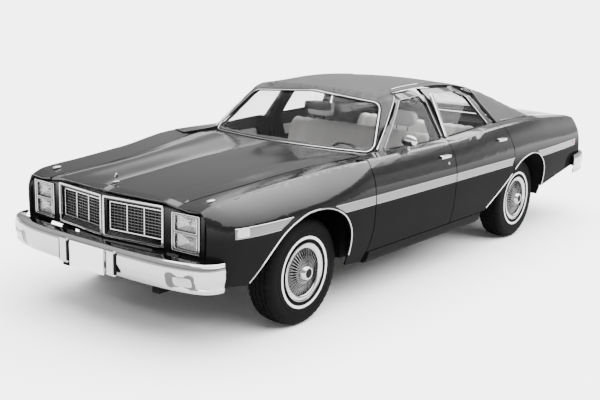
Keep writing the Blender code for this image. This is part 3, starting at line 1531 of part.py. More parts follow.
def make_rear_axle():
    """The live axle with its final drive, leaf springs, drums, spindles and propeller shaft."""
    centre = Vector((0.0, REAR_AXLE_Y, AXLE_Z))
    half = Vector((HALF_TRACK - 0.037, 0, 0))
    axle = rod("rear_axle", centre - half, centre + half, 0.040, 14)
    join(
        axle,
        rod("final_drive", centre - Vector((0.10, 0, 0)), centre + Vector((0.10, 0, 0)), 0.125, 14),
        rod("drive_nose", centre - Vector((0, 0.05, 0)), centre - Vector((0, 0.26, 0)), 0.080, 12, 0.045),
        rod("shaft", centre - Vector((0, 0.24, 0)), Vector((0.0, SHAFT_FRONT_Y, AXLE_Z + 0.010)), 0.036, 12),
    )
    eye_z = REAR_RAIL_Z - FIT_GAP
    front_eye = KICK_Y + 0.025 - REAR_AXLE_Y
    spring = [(front_eye, eye_z), (-0.280, 0.345), (0.0, 0.312), (0.380, 0.345), (0.640, eye_z)]
    lower = [(y, z - 0.032) for y, z in reversed(spring)]
    outline = [(REAR_AXLE_Y + y, z) for y, z in spring + lower]
    for side in (-1, 1):
        low_x, high_x = sorted((side * (REAR_RAIL_X[0] + 0.003), side * (REAR_RAIL_X[1] - 0.003)))
        drum_in, drum_out = side * DRUM_X, side * HALF_TRACK
        join(
            axle,
            plate("spring", outline, "X", low_x, high_x),
            rod("drum", centre + Vector((drum_in, 0, 0)), centre + Vector((drum_out, 0, 0)), DRUM_RADIUS, 20),
            rod(
                "spindle",
                centre + Vector((drum_in, 0, 0)),
                centre + Vector((side * SPINDLE_X, 0, 0)),
                SPINDLE_RADIUS,
                12,
            ),
        )
    finish_object(axle, "cast_iron")


WHEEL_STEPS = 24
TYRE_PROFILE = [
    (RIM_RADIUS, -0.075),
    (0.230, -0.099),
    (0.295, -0.099),
    (0.331, -0.084),
    (TYRE_RADIUS, 0.0),
]


def make_wheels():
    """Four tyres on four covered wheels."""
    profile = TYRE_PROFILE + [(radius, -along) for radius, along in reversed(TYRE_PROFILE[:-1])]
    rim = RIM_RADIUS - FIT_GAP
    hub = SPINDLE_RADIUS + FIT_GAP
    cover = [
        (0.0, 0.112),
        (0.040, 0.110),
        (0.056, 0.088),
        (0.130, 0.076),
        (0.184, 0.096),
        (rim, 0.092),
        (rim, -0.080),
        (0.176, -0.080),
        (0.170, 0.046),
        (0.058, 0.046),
        (0.048, 0.006),
        (hub, 0.006),
        (hub, 0.056),
        (0.0, 0.056),
    ]
    for end, y in (("front", FRONT_AXLE_Y), ("rear", REAR_AXLE_Y)):
        tyre = turned(f"tyre_{end}_left", profile, (HALF_TRACK, y, AXLE_Z), WHEEL_STEPS)
        wheel = turned(f"wheel_{end}_left", cover, (HALF_TRACK, y, AXLE_Z), WHEEL_STEPS, closed=False)
        for obj, finish in ((tyre, "rubber"), (wheel, "chrome")):
            finish_object(obj, finish)
            finish_object(mirrored(obj), finish)


# Engine, exhaust, tank and radiator
def make_machinery():
    """The engine with its gearbox, the radiator, the exhaust and the fuel tank."""
    engine = box(
        "engine", (-0.270, front(-0.330), CROSSMEMBER_TOP_Z + FIT_GAP), (0.270, front(0.420), 0.780), 0.020
    )
    gearbox = box("gearbox", (-0.115, front(0.40), 0.262), (0.115, SHAFT_FRONT_Y - 0.006, 0.455), 0.015)
    join(engine, gearbox)
    finish_object(engine, "cast_iron")
    radiator = box(
        "radiator",
        (-APRON_X[0] + FIT_GAP, front(-0.680), RAIL_Z[1] + FIT_GAP),
        (APRON_X[0] - FIT_GAP, front(-0.640), 0.790),
    )
    finish_object(radiator, "trim_black")
    route = [
        (-0.250, front(0.50), 0.250),
        (-0.250, front(1.30), 0.240),
        (-0.300, rear(-1.10), 0.232),
        (-0.300, rear(-0.52), 0.240),
        (-0.300, rear(-0.32), 0.330),
        (-0.300, rear(-0.12), 0.425),
        (-0.300, rear(0.06), 0.435),
        (-0.330, rear(0.24), 0.390),
        (-0.390, rear(0.40), 0.310),
        (-0.432, rear(0.52), 0.290),
        (-0.432, rear(1.36), 0.300),
    ]
    pipe = tube("exhaust", route, 0.025, 2)
    muffler = box("muffler", (-0.400, rear(-1.05), 0.180), (-0.200, rear(-0.60), FLOOR_Z[0] - FIT_GAP), 0.020)
    join(pipe, muffler)
    finish_object(pipe, "cast_iron")
    tank = box("fuel_tank", (-0.380, rear(0.50), 0.290), (0.380, rear(1.06), REAR_FLOOR_Z[0] - FIT_GAP), 0.020)
    finish_object(tank, "cast_iron")


# Cabin
STEERING_TILT = math.radians(25)
STEERING_AXIS = Vector((0.0, math.cos(STEERING_TILT), math.sin(STEERING_TILT)))
STEERING_CENTRE = Vector((0.370, front(1.190), 0.800))
STEERING_HUB = 0.032
STEERING_RING = 0.188
STEERING_RIM = 0.011


def make_dashboard():
    """The dashboard, between the hinge posts, with the steering column."""
    outline = [
        (FIREWALL_Y + FIREWALL_WALL + FIT_GAP, 0.878),
        (front(0.765), 0.878),
        (front(0.820), 0.924),
        (front(1.000), 0.944),
        (front(1.050), 0.930),
        (front(1.066), 0.890),
        (front(1.045), 0.800),
        (front(1.000), 0.700),
        (front(0.980), 0.600),
        (front(0.930), 0.560),
        (FIREWALL_Y + FIREWALL_WALL + FIT_GAP, 0.560),
    ]
    half = POST_X - POST_DEPTH - FIT_GAP
    dash = plate("dashboard", outline, "X", -half, half)
    low_end = STEERING_CENTRE - STEERING_AXIS * 0.22
    high_end = STEERING_CENTRE - STEERING_AXIS * (STEERING_HUB + FIT_GAP)
    column = rod("column", low_end, high_end, 0.034, 16)
    join(dash, column)
    finish_object(dash, "trim_black")


def make_steering_wheel():
    """The steering wheel, turned about its column."""
    made = bmesh.new()
    steps, sides = 24, 6
    rows = []
    for i in range(steps):
        a = 2 * math.pi * i / steps
        row = []
        for k in range(sides):
            b = 2 * math.pi * k / sides
            reach, rise = STEERING_RING + STEERING_RIM * math.cos(b), STEERING_RIM * math.sin(b)
            row.append(made.verts.new((reach * math.cos(a), reach * math.sin(a), rise)))
        rows.append(row)
    for i in range(steps):
        for k in range(sides):
            j, m = (i + 1) % steps, (k + 1) % sides
            made.faces.new((rows[i][k], rows[j][k], rows[j][m], rows[i][m]))
    mesh = bpy.data.meshes.new("steering_wheel")
    made.to_mesh(mesh)
    made.free()
    wheel = bpy.data.objects.new("steering_wheel", mesh)
    car.objects.link(wheel)
    hub = rod("hub", (0, 0, -STEERING_HUB), (0, 0, 0.006), 0.045, 16)
    join(wheel, hub)
    for turn in (-0.12, math.pi + 0.12):
        out = Vector((math.cos(turn), math.sin(turn), 0.0))
        join(wheel, rod("spoke", out * 0.03 - Vector((0, 0, 0.006)), out * STEERING_RING, 0.009, 8))
    place = STEERING_AXIS.to_track_quat("Z", "Y").to_matrix().to_4x4()
    wheel.data.transform(Matrix.Translation(STEERING_CENTRE) @ place)
    finish_object(wheel, "trim_black")


FRONT_SEAT = [
    (front(1.130), 0.350),
    (front(1.115), 0.500),
    (front(1.150), 0.575),
    (front(1.340), 0.590),
    (front(1.590), 0.545),
    (front(1.650), 0.610),
    (front(1.720), 0.800),
    (front(1.790), 0.985),
    (front(1.830), 1.005),
    (front(1.880), 0.985),
    (front(1.890), 0.900),
    (front(1.810), 0.600),
    (front(1.760), 0.400),
    (front(1.690), 0.350),
]
REAR_SEAT = [
    (rear(-0.930), FLOOR_Z[1] + FIT_GAP),
    (rear(-0.945), 0.500),
    (rear(-0.910), 0.570),
    (rear(-0.740), 0.585),
    (rear(-0.520), 0.545),
    (rear(-0.470), 0.600),
    (rear(-0.390), 0.800),
    (rear(-0.315), 0.950),
    (rear(-0.280), 0.966),
    (rear(-0.225), 0.955),
    (rear(-0.220), 0.900),
    (rear(-0.260), REAR_FLOOR_Z[1] + FIT_GAP),
    (KICK_Y - FIT_GAP - 0.002, REAR_FLOOR_Z[1] + FIT_GAP),
    (KICK_Y - FIT_GAP - 0.002, FLOOR_Z[1] + FIT_GAP),
]


def make_seats():
    """The two bench seats. The front one stands on runners beside the tunnel."""
    half = POST_X - 0.065
    seat = plate("front_seat", FRONT_SEAT, "X", -half, half)
    for x in (-0.40, 0.40):
        join(
            seat,
            box("runner", (x - 0.02, front(1.20), FLOOR_Z[1] + FIT_GAP), (x + 0.02, front(1.68), 0.356)),
            box("head_restraint", (x - 0.125, front(1.800), 1.030), (x + 0.125, front(1.885), 1.150), 0.018),
            box("restraint_post", (x - 0.012, front(1.825), 0.980), (x + 0.012, front(1.849), 1.040)),
        )
    over_tunnel = box(
        "over_tunnel",
        (-TUNNEL_X - 0.010, front(1.0), 0.20),
        (TUNNEL_X + 0.010, rear(-0.4), TUNNEL_TOP_Z + 0.006),
    )
    cut(seat, over_tunnel)
    finish_object(seat, "seat")
    half = WELL_X[0] - 0.030
    bench = plate("rear_seat", REAR_SEAT, "X", -half, half)
    tunnel_end = box(
        "tunnel_end",
        (-TUNNEL_X - FIT_GAP, rear(-1.0), 0.20),
        (TUNNEL_X + FIT_GAP, KICK_Y + 0.005, TUNNEL_TOP_Z + FIT_GAP),
    )
    cut(bench, tunnel_end)
    finish_object(bench, "seat")


def make_mirrors():
    """The door mirror on its foot, and the inside mirror on the windscreen."""
    door = bpy.data.objects["door_front_left"]
    x, y = SIDE_BASE_X, front(1.160)
    mirror = box("door_mirror_left", (x - 0.047, y - 0.030, 1.010), (x + 0.103, y + 0.030, 1.085), 0.018)
    stem = rod("stem", (x + 0.006, y, 0.930), (x + 0.018, y, 1.020), 0.030, 16, 0.014)
    join(mirror, stem)
    door_copy = copy_of(door, "mirror_seat", Matrix.Translation((FIT_GAP, 0.0, FIT_GAP)))
    cut(mirror, door_copy)
    finish_object(mirror, "chrome")
    screen = bpy.data.objects["windscreen"]
    y = front(1.215)
    top = greenhouse_z(0.0, y) - 0.012
    join(
        screen,
        rod("mirror_stem", (0.0, y + 0.045, 1.205), (0.0, y, top), 0.008, 8),
        box("inside_mirror", (-0.120, y + 0.030, 1.165), (0.120, y + 0.058, 1.225), 0.008),
    )
    finish_object(screen, "glass")


def add_handles():
    """Pull handles on the doors."""
    for name, y in (("door_front", DOOR_SPLIT_Y - 0.150), ("door_rear", DOOR_REAR_Y - 0.120)):
        z = 0.893 if name == "door_front" else 0.920
        for side, word in ((1, "left"), (-1, "right")):
            door = bpy.data.objects[f"{name}_{word}"]
            low_x, high_x = sorted((side * (side_x(y, z) - 0.010), side * (side_x(y, z) + 0.016)))
            join(door, box("handle", (low_x, y - 0.065, z - 0.012), (high_x, y + 0.065, z + 0.012), 0.005))


# Lid hinges: a barrel on the body, let into the lid's skin between two ears
LID_BARREL_HALF = 0.020
LID_BARREL_RADIUS = 0.006
HOOD_HINGE_X = HALF_WIDTH - 0.425
DECK_HINGE_X = LID_HALF_X - 0.130
LID_HINGE_INSET = 0.015
LID_HINGE_DEPTH = 0.012
HOOD_AXIS_Y = HOOD_REAR_Y - LID_HINGE_INSET
DECK_AXIS_Y = DECK_FRONT_Y + LID_HINGE_INSET
HOOD_AXIS = (HOOD_AXIS_Y, hood_z(HOOD_HINGE_X, HOOD_AXIS_Y) - LID_HINGE_DEPTH)
DECK_AXIS = (DECK_AXIS_Y, deck_z(DECK_HINGE_X, DECK_AXIS_Y) - LID_HINGE_DEPTH)


def add_lid_hinges():
    """Lets the hinges into the hood and the deck lid, and joins their barrels to the body."""
    hood_arm = (FIREWALL_Y + 0.010, 0.892, 0.908)
    deck_arm = (rear(0.250), *SHELF_Z)
    for lid_name, base_name, hinge_x, (axis_y, axis_z), edge_y, (foot_y, foot_low, foot_high) in (
        ("hood", "underbody", HOOD_HINGE_X, HOOD_AXIS, HOOD_REAR_Y + 0.010, hood_arm),
        ("deck_lid", "rear_floor", DECK_HINGE_X, DECK_AXIS, DECK_FRONT_Y - 0.010, deck_arm),
    ):
        lid, body = bpy.data.objects[lid_name], bpy.data.objects[base_name]
        inner_y = axis_y - 0.012 if edge_y > axis_y else axis_y + 0.012
        pocket_y = sorted((inner_y, edge_y))
        arm_y = sorted((foot_y, axis_y + math.copysign(0.006, axis_y - foot_y)))
        ear_low, ear_high = axis_z - 0.012, axis_z + LID_HINGE_DEPTH - 0.006
        for side in (-1, 1):
            x = side * hinge_x
            reach = LID_BARREL_HALF + FIT_GAP
            for edge in (-1, 1):
                low_x, high_x = sorted((x + edge * (reach - 0.002), x + edge * (reach + 0.008)))
                join(lid, box("ear", (low_x, axis_y - 0.011, ear_low), (high_x, axis_y + 0.011, ear_high)))
            pocket_high = axis_z + LID_HINGE_DEPTH - 0.0045
            cut(lid, box("pocket", (x - reach, pocket_y[0], ear_low - 0.02), (x + reach, pocket_y[1], pocket_high)))
            ends = (x - LID_BARREL_HALF, axis_y, axis_z), (x + LID_BARREL_HALF, axis_y, axis_z)
            join(
                body,
                rod("lid_barrel", *ends, LID_BARREL_RADIUS, 10),
                box("upright", (x - 0.012, axis_y - 0.005, foot_low + 0.002), (x + 0.012, axis_y + 0.005, axis_z)),
                box("foot", (x - 0.012, arm_y[0], foot_low), (x + 0.012, arm_y[1], foot_high)),
            )


make_roof()
make_doors()
make_hood()
make_deck_lid()
make_fenders()
make_quarters()
make_cowl()
make_deck_filler()
make_nose()
make_grilles()
make_headlamps()
make_bumpers()
make_tail()
make_underbody()
make_centre_pillars()
make_front_frame()
make_rear_floor()
add_brackets()
make_front_suspension()
make_knuckles()
make_rear_axle()
make_wheels()
make_machinery()
make_dashboard()
make_steering_wheel()
make_seats()
make_mirrors()
add_handles()
add_lid_hinges()


def set_origin(name, point):
    """Moves an object's origin to a point on its joint axis, its mesh staying where it is."""
    obj = bpy.data.objects[name]
    obj.data.transform(Matrix.Translation(-Vector(point)))
    obj.location = point


for side, word in ((1, "left"), (-1, "right")):
    set_origin(f"door_front_{word}", (side * HINGE_X, hinge_y(DOOR_FRONT_Y), HINGE_HEIGHTS[0]))
    set_origin(f"door_rear_{word}", (side * HINGE_X, hinge_y(DOOR_SPLIT_Y), HINGE_HEIGHTS[0]))
    set_origin(f"knuckle_{word}", (side * KINGPIN_X, FRONT_AXLE_Y, AXLE_Z))
    for end, y in (("front", FRONT_AXLE_Y), ("rear", REAR_AXLE_Y)):
        for kind in ("tyre", "wheel"):
            set_origin(f"{kind}_{end}_{word}", (side * HALF_TRACK, y, AXLE_Z))
set_origin("hood", (0.0, *HOOD_AXIS))
set_origin("deck_lid", (0.0, *DECK_AXIS))
set_origin("steering_wheel", STEERING_CENTRE)
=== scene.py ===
# %% [markdown]
# # A black four-door sedan with a grained roof
# The car comes in as a frame of plain solids: panels, glass, seats and running gear, each with its
# true size and place. This lesson dresses that frame. It gives each solid its finish, adds the thin
# bright work that a press shop would fit by hand, and swaps the plain wheels, lamps and seats for
# detailed ones. Distances are in metres, the nose points to -Y and the driver sits at +X.

import json
import math

import bmesh
import bpy
from mathutils import Matrix, Vector
from mathutils.bvhtree import BVHTree


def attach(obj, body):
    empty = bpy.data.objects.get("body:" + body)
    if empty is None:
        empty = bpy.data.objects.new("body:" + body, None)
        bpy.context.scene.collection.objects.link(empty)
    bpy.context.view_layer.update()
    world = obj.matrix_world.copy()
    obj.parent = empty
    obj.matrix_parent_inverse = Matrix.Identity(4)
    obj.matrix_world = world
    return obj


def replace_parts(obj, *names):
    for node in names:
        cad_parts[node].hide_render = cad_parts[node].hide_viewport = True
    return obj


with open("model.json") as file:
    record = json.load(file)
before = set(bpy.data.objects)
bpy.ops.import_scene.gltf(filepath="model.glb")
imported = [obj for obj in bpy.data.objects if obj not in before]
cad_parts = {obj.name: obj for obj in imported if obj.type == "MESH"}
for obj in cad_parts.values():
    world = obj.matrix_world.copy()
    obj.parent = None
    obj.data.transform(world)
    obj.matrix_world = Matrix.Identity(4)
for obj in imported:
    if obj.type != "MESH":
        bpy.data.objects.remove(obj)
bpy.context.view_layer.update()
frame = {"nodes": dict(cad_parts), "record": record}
nodes = frame["nodes"]

# %% [markdown]
# Shader maths reads best as plain sums, so a small class wraps a socket and turns each operator into
# a Math node. One method makes every other node: it sets the node's own settings first and then
# joins or fills its sockets.


# %% A socket that can be used in sums
class Wire:
    """An output socket of a finish, with arithmetic."""

    def __init__(self, finish, socket):
        self.finish = finish
        self.socket = socket

    def maths(self, operation, first, second):
        return self.finish.node("Math", {"operation": operation}, {0: first, 1: second})

    def __add__(self, other):
        return self.maths("ADD", self, other)

    def __mul__(self, other):
        return self.maths("MULTIPLY", self, other)

    def __sub__(self, other):
        return self.maths("SUBTRACT", self, other)

    def __abs__(self):
        return self.maths("ABSOLUTE", self, 0.0)

    def __mod__(self, other):
        return self.maths("FLOORED_MODULO", self, other)


# %% A finish and its nodes
class Finish:
    """A material with a Principled shader, and the nodes that vary it."""

    def __init__(self, name, fixed):
        self.material = bpy.data.materials.new(name)
        self.material.use_nodes = True
        self.tree = self.material.node_tree
        self.shader = self.tree.nodes["Principled BSDF"]
        for word, value in fixed.items():
            self.fill(self.shader.inputs[word], value)

    def fill(self, socket, value):
        if isinstance(value, Wire):
            self.tree.links.new(value.socket, socket)
        else:
            socket.default_value = value

    def node(self, kind, settings=None, sockets=None, output=0):
        made = self.tree.nodes.new("ShaderNode" + kind)
        for word, value in (settings or {}).items():
            setattr(made, word, value)
        for key, value in (sockets or {}).items():
            self.fill(made.inputs[key], value)
        return Wire(self, made.outputs[output])

    def place(self):
        """The point on the object, in metres."""
        return self.node("TexCoord", output="Object")

    def axes(self):
        """The point's x, y and z."""
        split = self.node("SeparateXYZ", sockets={0: self.place()}).socket.node
        return [Wire(self, split.outputs[i]) for i in range(3)]

    def noise(self, scale, detail=2.0):
        """Soft cloudy variation, from 0 to 1."""
        return self.node("TexNoise", sockets={"Vector": self.place(), "Scale": scale, "Detail": detail})

    def cells(self, scale):
        """The distance to the nearest of many scattered points."""
        return self.node("TexVoronoi", sockets={"Vector": self.place(), "Scale": scale})

    def between(self, low, high, share):
        """A colour between two others."""
        sockets = {"Factor": share, 6: (*low, 1), 7: (*high, 1)}
        return self.node("Mix", {"data_type": "RGBA"}, sockets, output=2)

    def vary(self, word, value):
        self.fill(self.shader.inputs[word], value)

    def bump(self, height, depth, strength=1.0):
        """Raises the surface by a height map, up to a depth in metres."""
        sockets = {"Strength": strength, "Distance": depth, "Height": height}
        self.vary("Normal", self.node("Bump", sockets=sockets))


# %% [markdown]
# ## Finishes
# Black paint is the hardest finish here: nearly all that the eye reads is reflection. A dark base
# under a hard clear coat does it, with a very faint waviness so that the reflections aren't a mirror's.


# %% Paint
def grey(value, warm=0.0):
    """A near-neutral colour."""
    return (value * (1 + warm), value, value * (1 - warm))


def make_paint(name, value):
    """Gloss paint under clear lacquer. A painted sheen sets the lacquer's shine by height, fading towards
    the sill.
    """
    paint = Finish(name, {"Coat Roughness": 0.13, "Specular IOR Level": 0.0})
    height = paint.axes()[2]
    # Painted sheen: the clear coat's weight grows with height, so the upper body reflects lighter and the
    # lower sides darker than the light alone makes them.
    painted_sheen = {"Value": height, "From Min": 0.66, "From Max": 1.02, "To Min": 0.05, "To Max": 1.0}
    paint.vary("Coat Weight", paint.node("MapRange", {"interpolation_type": "SMOOTHSTEP"}, painted_sheen))
    dust = paint.noise(2.2, 3.0)
    paint.vary("Base Color", paint.between(grey(value), grey(value * 1.5), dust))
    paint.vary("Roughness", dust * 0.10 + 0.24)
    paint.bump(paint.noise(260.0, 1.0), 0.00002, 0.25)
    return paint.material


body_paint = make_paint("body_paint", 0.0035)
print("paint", body_paint.name)

# %% [markdown]
# The number plate is left blank, as it is before a registration office presses it. Its enamel is
# slightly wavy. The stripe along the sides is a pale insert of the same kind.


# %% Enamel
def make_enamel(name, value, rough):
    """Pale stoved enamel with a slight waviness."""
    enamel = Finish(name, {"Coat Weight": 0.3, "Coat Roughness": 0.1})
    cloud = enamel.noise(14.0, 3.0)
    enamel.vary("Base Color", enamel.between(grey(value * 0.9), grey(value), cloud))
    enamel.vary("Roughness", cloud * 0.1 + rough)
    enamel.bump(enamel.noise(90.0, 2.0), 0.0001, 0.4)
    return enamel.material


plate_enamel = make_enamel("plate_enamel", 0.80, 0.35)
stripe_vinyl = make_enamel("stripe_vinyl", 0.08, 0.42)

# %% [markdown]
# The roof is covered in vinyl with a leather grain. Two sizes of cells crossed with a fine noise give
# the pebbled height, and the same height darkens the valleys, which keeps the grain visible in soft light.


# %% Vinyl, cloth and rubber
def make_grained(name, low, high, size, depth, rough):
    """A pebbled sheet: vinyl or leather cloth with grains of about the size given."""
    sheet = Finish(name, {"Specular IOR Level": 0.2})
    grain = sheet.cells(1.0 / size) * 0.7 + sheet.noise(1.6 / size, 3.0) * 0.6
    worn = sheet.noise(3.0, 4.0)
    sheet.vary("Base Color", sheet.between(grey(low), grey(high), grain * 0.6 + worn * 0.5))
    sheet.vary("Roughness", worn * 0.12 + rough)
    sheet.bump(grain, depth)
    return sheet.material


def make_cloth(name, low, high, pitch):
    """Woven upholstery: two crossed sets of ribs under a soft sheen."""
    cloth = Finish(name, {"Sheen Weight": 0.35, "Sheen Roughness": 0.4})
    x, y, z = cloth.axes()
    across = abs((x + z * 0.31) * (1.0 / pitch) % 1.0 - 0.5)
    along = abs((y + z) * (1.0 / pitch) % 1.0 - 0.5)
    weave = across * along * 4.0
    shade = cloth.noise(5.0, 3.0)
    cloth.vary("Base Color", cloth.between(grey(low, 0.02), grey(high, 0.02), weave * 0.5 + shade * 0.6))
    cloth.vary("Roughness", shade * 0.10 + 0.72)
    cloth.bump(weave, 0.0004)
    return cloth.material


def make_rubber(name, value, rough):
    """Rubber or soft black trim with a faint bloom."""
    rubber = Finish(name, {"Specular IOR Level": 0.03})
    bloom = rubber.noise(18.0, 4.0)
    rubber.vary("Base Color", rubber.between(grey(value), grey(value * 2.2), bloom * bloom))
    rubber.vary("Roughness", bloom * 0.15 + rough)
    rubber.bump(rubber.noise(420.0, 2.0), 0.0001, 0.6)
    return rubber.material


roof_vinyl = make_grained("roof_vinyl", 0.013, 0.040, 0.0035, 0.0006, 0.46)
seat_cloth = make_cloth("seat_cloth", 0.46, 0.66, 0.004)
seat_vinyl = make_grained("seat_vinyl", 0.34, 0.50, 0.004, 0.0003, 0.45)
dash_vinyl = make_grained("dash_vinyl", 0.018, 0.040, 0.003, 0.0003, 0.50)
tyre_rubber = make_rubber("tyre_rubber", 0.0022, 0.60)
white_rubber = make_enamel("white_rubber", 0.55, 0.45)
black_trim = make_rubber("black_trim", 0.004, 0.40)
print("soft finishes", roof_vinyl.name, seat_cloth.name, tyre_rubber.name)

# %% [markdown]
# Plated metal reflects nearly everything, so its look comes from what surrounds it. A little cloudy
# roughness breaks the mirror, as handling and washing do. Unplated metal under the car is cast or
# dipped, so it gets a coarse skin and a dull coat instead.


# %% Metals
def make_metal(name, value, rough, spread, skin_scale, skin_depth):
    """Metal with a cloudy polish and a skin of small bumps."""
    metal = Finish(name, {"Metallic": 1.0})
    cloud = metal.noise(9.0, 3.0)
    metal.vary("Base Color", metal.between(grey(value * 0.93), grey(value), cloud))
    metal.vary("Roughness", cloud * spread + rough)
    if skin_depth:
        metal.bump(metal.noise(skin_scale, 3.0), skin_depth, 0.5)
    return metal.material


chrome = make_metal("chrome", 0.36, 0.05, 0.06, 1.0, 0.0)
satin_bright = make_metal("satin_bright", 0.26, 0.22, 0.10, 300.0, 0.00003)
dark_bright = make_metal("dark_bright", 0.075, 0.20, 0.10, 300.0, 0.00003)
cast_metal = make_metal("cast_metal", 0.06, 0.48, 0.20, 160.0, 0.0005)
chassis_coat = make_rubber("chassis_coat", 0.003, 0.62)
print("metals", chrome.name, cast_metal.name)

# %% [markdown]
# Window glass is two surfaces with almost nothing between them. An alpha that climbs with the angle of
# view lets the cabin show when looked at squarely and turns to reflection at a glance. Lamp lenses are
# the same, with pressed ribs. The stop lamps are red plastic.


# %% Glass and lenses
def make_glass(name, value, clear, rib_pitch=0.0):
    """A pane or a lens. Clear is its alpha when looked at squarely."""
    glass = Finish(name, {"Roughness": 0.02, "Specular IOR Level": 0.5})
    edge_on = glass.node("LayerWeight", sockets={"Blend": 0.30}, output="Facing")
    glass.vary("Base Color", glass.between(grey(value * 0.9), grey(value), glass.noise(2.0)))
    glass.vary("Alpha", edge_on * edge_on * (0.60 - clear) + clear)
    if rib_pitch:
        ribs = abs(glass.axes()[0] * (1.0 / rib_pitch) % 1.0 - 0.5)
        glass.bump(ribs * ribs, 0.003)
    return glass.material


def make_red_lens(name):
    lens = Finish(name, {"Roughness": 0.10, "Specular IOR Level": 0.15, "Coat Weight": 0.12})
    x, _, z = lens.axes()
    cells = abs(x * 90.0 % 1.0 - 0.5) * abs(z * 90.0 % 1.0 - 0.5)
    lens.vary("Base Color", lens.between((0.075, 0.0006, 0.0006), (0.20, 0.0025, 0.002), cells * 4.0))
    lens.bump(cells, 0.002)
    return lens.material


window_glass = make_glass("window_glass", 0.020, 0.05)
screen_glass = make_glass("screen_glass", 0.020, 0.04)
lamp_glass = make_glass("lamp_glass", 0.40, 0.22, 0.012)
red_lens = make_red_lens("red_lens")
print("glass", window_glass.name, lamp_glass.name)


# %% [markdown]
# ## Finishes for the solids
# Every solid of the frame keeps its shape and takes a finish by the record's material slot.

# %% Dressing the frame
finish_of_slot = {
    "paint": body_paint,
    "vinyl": roof_vinyl,
    "chrome": chrome,
    "glass": window_glass,
    "lamp": chrome,
    "tail_lamp": red_lens,
    "rubber": tyre_rubber,
    "seat": seat_cloth,
    "trim_black": dash_vinyl,
    "cast_iron": cast_metal,
    "underbody": chassis_coat,
    "plate": plate_enamel,
}
CREASE_ANGLE = math.radians(32)
slot_of_node = {row["node"]: row["material_slot"] for row in frame["record"]["subparts"]}
for name, solid in nodes.items():
    finish = finish_of_slot[slot_of_node[name]]
    solid.data.materials.clear()
    solid.data.materials.append(finish)
    solid.data.shade_smooth()
    solid.data.set_sharp_from_angle(angle=CREASE_ANGLE)
nodes["windscreen"].data.materials[0] = screen_glass
print("dressed", len(slot_of_node), "solids")

# %% [markdown]
# ## Camera, floor and light
# The camera stands where the photographer stood, ahead of the car on its left and a little above the
# roof. A long lens keeps the far side from shrinking.

# %% Camera
CAMERA_PLACE = Vector((4.2509, -6.2284, 2.0671))
CAMERA_YAW, CAMERA_PITCH, CAMERA_ROLL = -0.6567, -0.2229, 0.0308
FOCAL_PIXELS = 938.045
FRAME_WIDTH = 600

ahead = Vector(
    (
        math.sin(CAMERA_YAW) * math.cos(CAMERA_PITCH),
        math.cos(CAMERA_YAW) * math.cos(CAMERA_PITCH),
        math.sin(CAMERA_PITCH),
    )
)
level = Vector((math.cos(CAMERA_YAW), -math.sin(CAMERA_YAW), 0.0))
upright = level.cross(ahead)
right = math.cos(CAMERA_ROLL) * level + math.sin(CAMERA_ROLL) * upright
above = -math.sin(CAMERA_ROLL) * level + math.cos(CAMERA_ROLL) * upright

camera = bpy.data.objects.new("camera", bpy.data.cameras.new("camera"))
bpy.context.scene.collection.objects.link(camera)
turn = Matrix((right, above, -ahead)).transposed().to_4x4()
camera.matrix_world = Matrix.Translation(CAMERA_PLACE) @ turn
camera.data.sensor_width = 36.0
camera.data.lens = FOCAL_PIXELS * camera.data.sensor_width / FRAME_WIDTH
camera.data.clip_end = 6000.0
bpy.context.scene.camera = camera
print("lens", round(camera.data.lens, 2), "mm")

# %% [markdown]
# The floor is plain and pale and runs out to the horizon. Gloss black shows only what it mirrors, so
# the sky is shaped like a studio: a pale strip low down, a dark band above it, and bright overhead.

# %% Floor
REACH = 2500.0
floor_corners = [(-REACH, -REACH, 0.0), (REACH, -REACH, 0.0), (REACH, REACH, 0.0), (-REACH, REACH, 0.0)]
floor_mesh = bpy.data.meshes.new("floor")
floor_mesh.from_pydata(floor_corners, [], [(0, 1, 2, 3)])
floor = bpy.data.objects.new("floor", floor_mesh)
bpy.context.scene.collection.objects.link(floor)
paper = Finish("floor_paper", {"Roughness": 0.9, "Specular IOR Level": 0.1})
paper.vary("Base Color", paper.between(grey(0.88), grey(0.92), paper.noise(0.6, 2.0)))
floor_mesh.materials.append(paper.material)


# %% Lights
SUN_ENERGY, SUN_SPREAD, SUN_BACK, SUN_ASIDE = 15.5, math.radians(100), math.radians(-14), math.radians(12)
SKY_STRENGTH = 1.9
SKY_STOPS = ((0.0, 0.9), (0.15, 0.9), (0.24, 0.28), (0.40, 0.50), (0.62, 0.68), (1.0, 0.80))

overhead = bpy.data.objects.new("overhead", bpy.data.lights.new("overhead", "SUN"))
overhead.data.energy, overhead.data.angle = SUN_ENERGY, SUN_SPREAD
overhead.rotation_euler = (SUN_BACK, SUN_ASIDE, 0.0)
bpy.context.scene.collection.objects.link(overhead)

world = bpy.data.worlds.new("studio")
bpy.context.scene.world = world
world.use_nodes = True
sky = world.node_tree
split = sky.nodes.new("ShaderNodeSeparateXYZ")
shades = sky.nodes.new("ShaderNodeValToRGB")
sky.links.new(sky.nodes.new("ShaderNodeTexCoord").outputs["Generated"], split.inputs[0])
sky.links.new(split.outputs["Z"], shades.inputs[0])
sky.links.new(shades.outputs[0], sky.nodes["Background"].inputs["Color"])
while len(shades.color_ramp.elements) < len(SKY_STOPS):
    shades.color_ramp.elements.new(0.5)
for element, (place, value) in zip(shades.color_ramp.elements, SKY_STOPS):
    element.position = place
    element.color = (*grey(value), 1.0)
sky.nodes["Background"].inputs["Strength"].default_value = SKY_STRENGTH

# %% [markdown]
# ## Tools for the bright work
# Trim lies on panels, so its path is found by shooting a ray at the panel and noting where it lands
# and which way the panel faces there. A strip is then a small cross-section carried along the path.


# %% Reading the panels
def skin_of(*names):
    """A search tree over the faces of one or more solids."""
    points, faces = [], []
    for name in names:
        mesh = panel_mesh[name]
        start = len(points)
        points += [vertex.co.copy() for vertex in mesh.vertices]
        faces += [tuple(start + i for i in face.vertices) for face in mesh.polygons]
    return BVHTree.FromPolygons(points, faces)


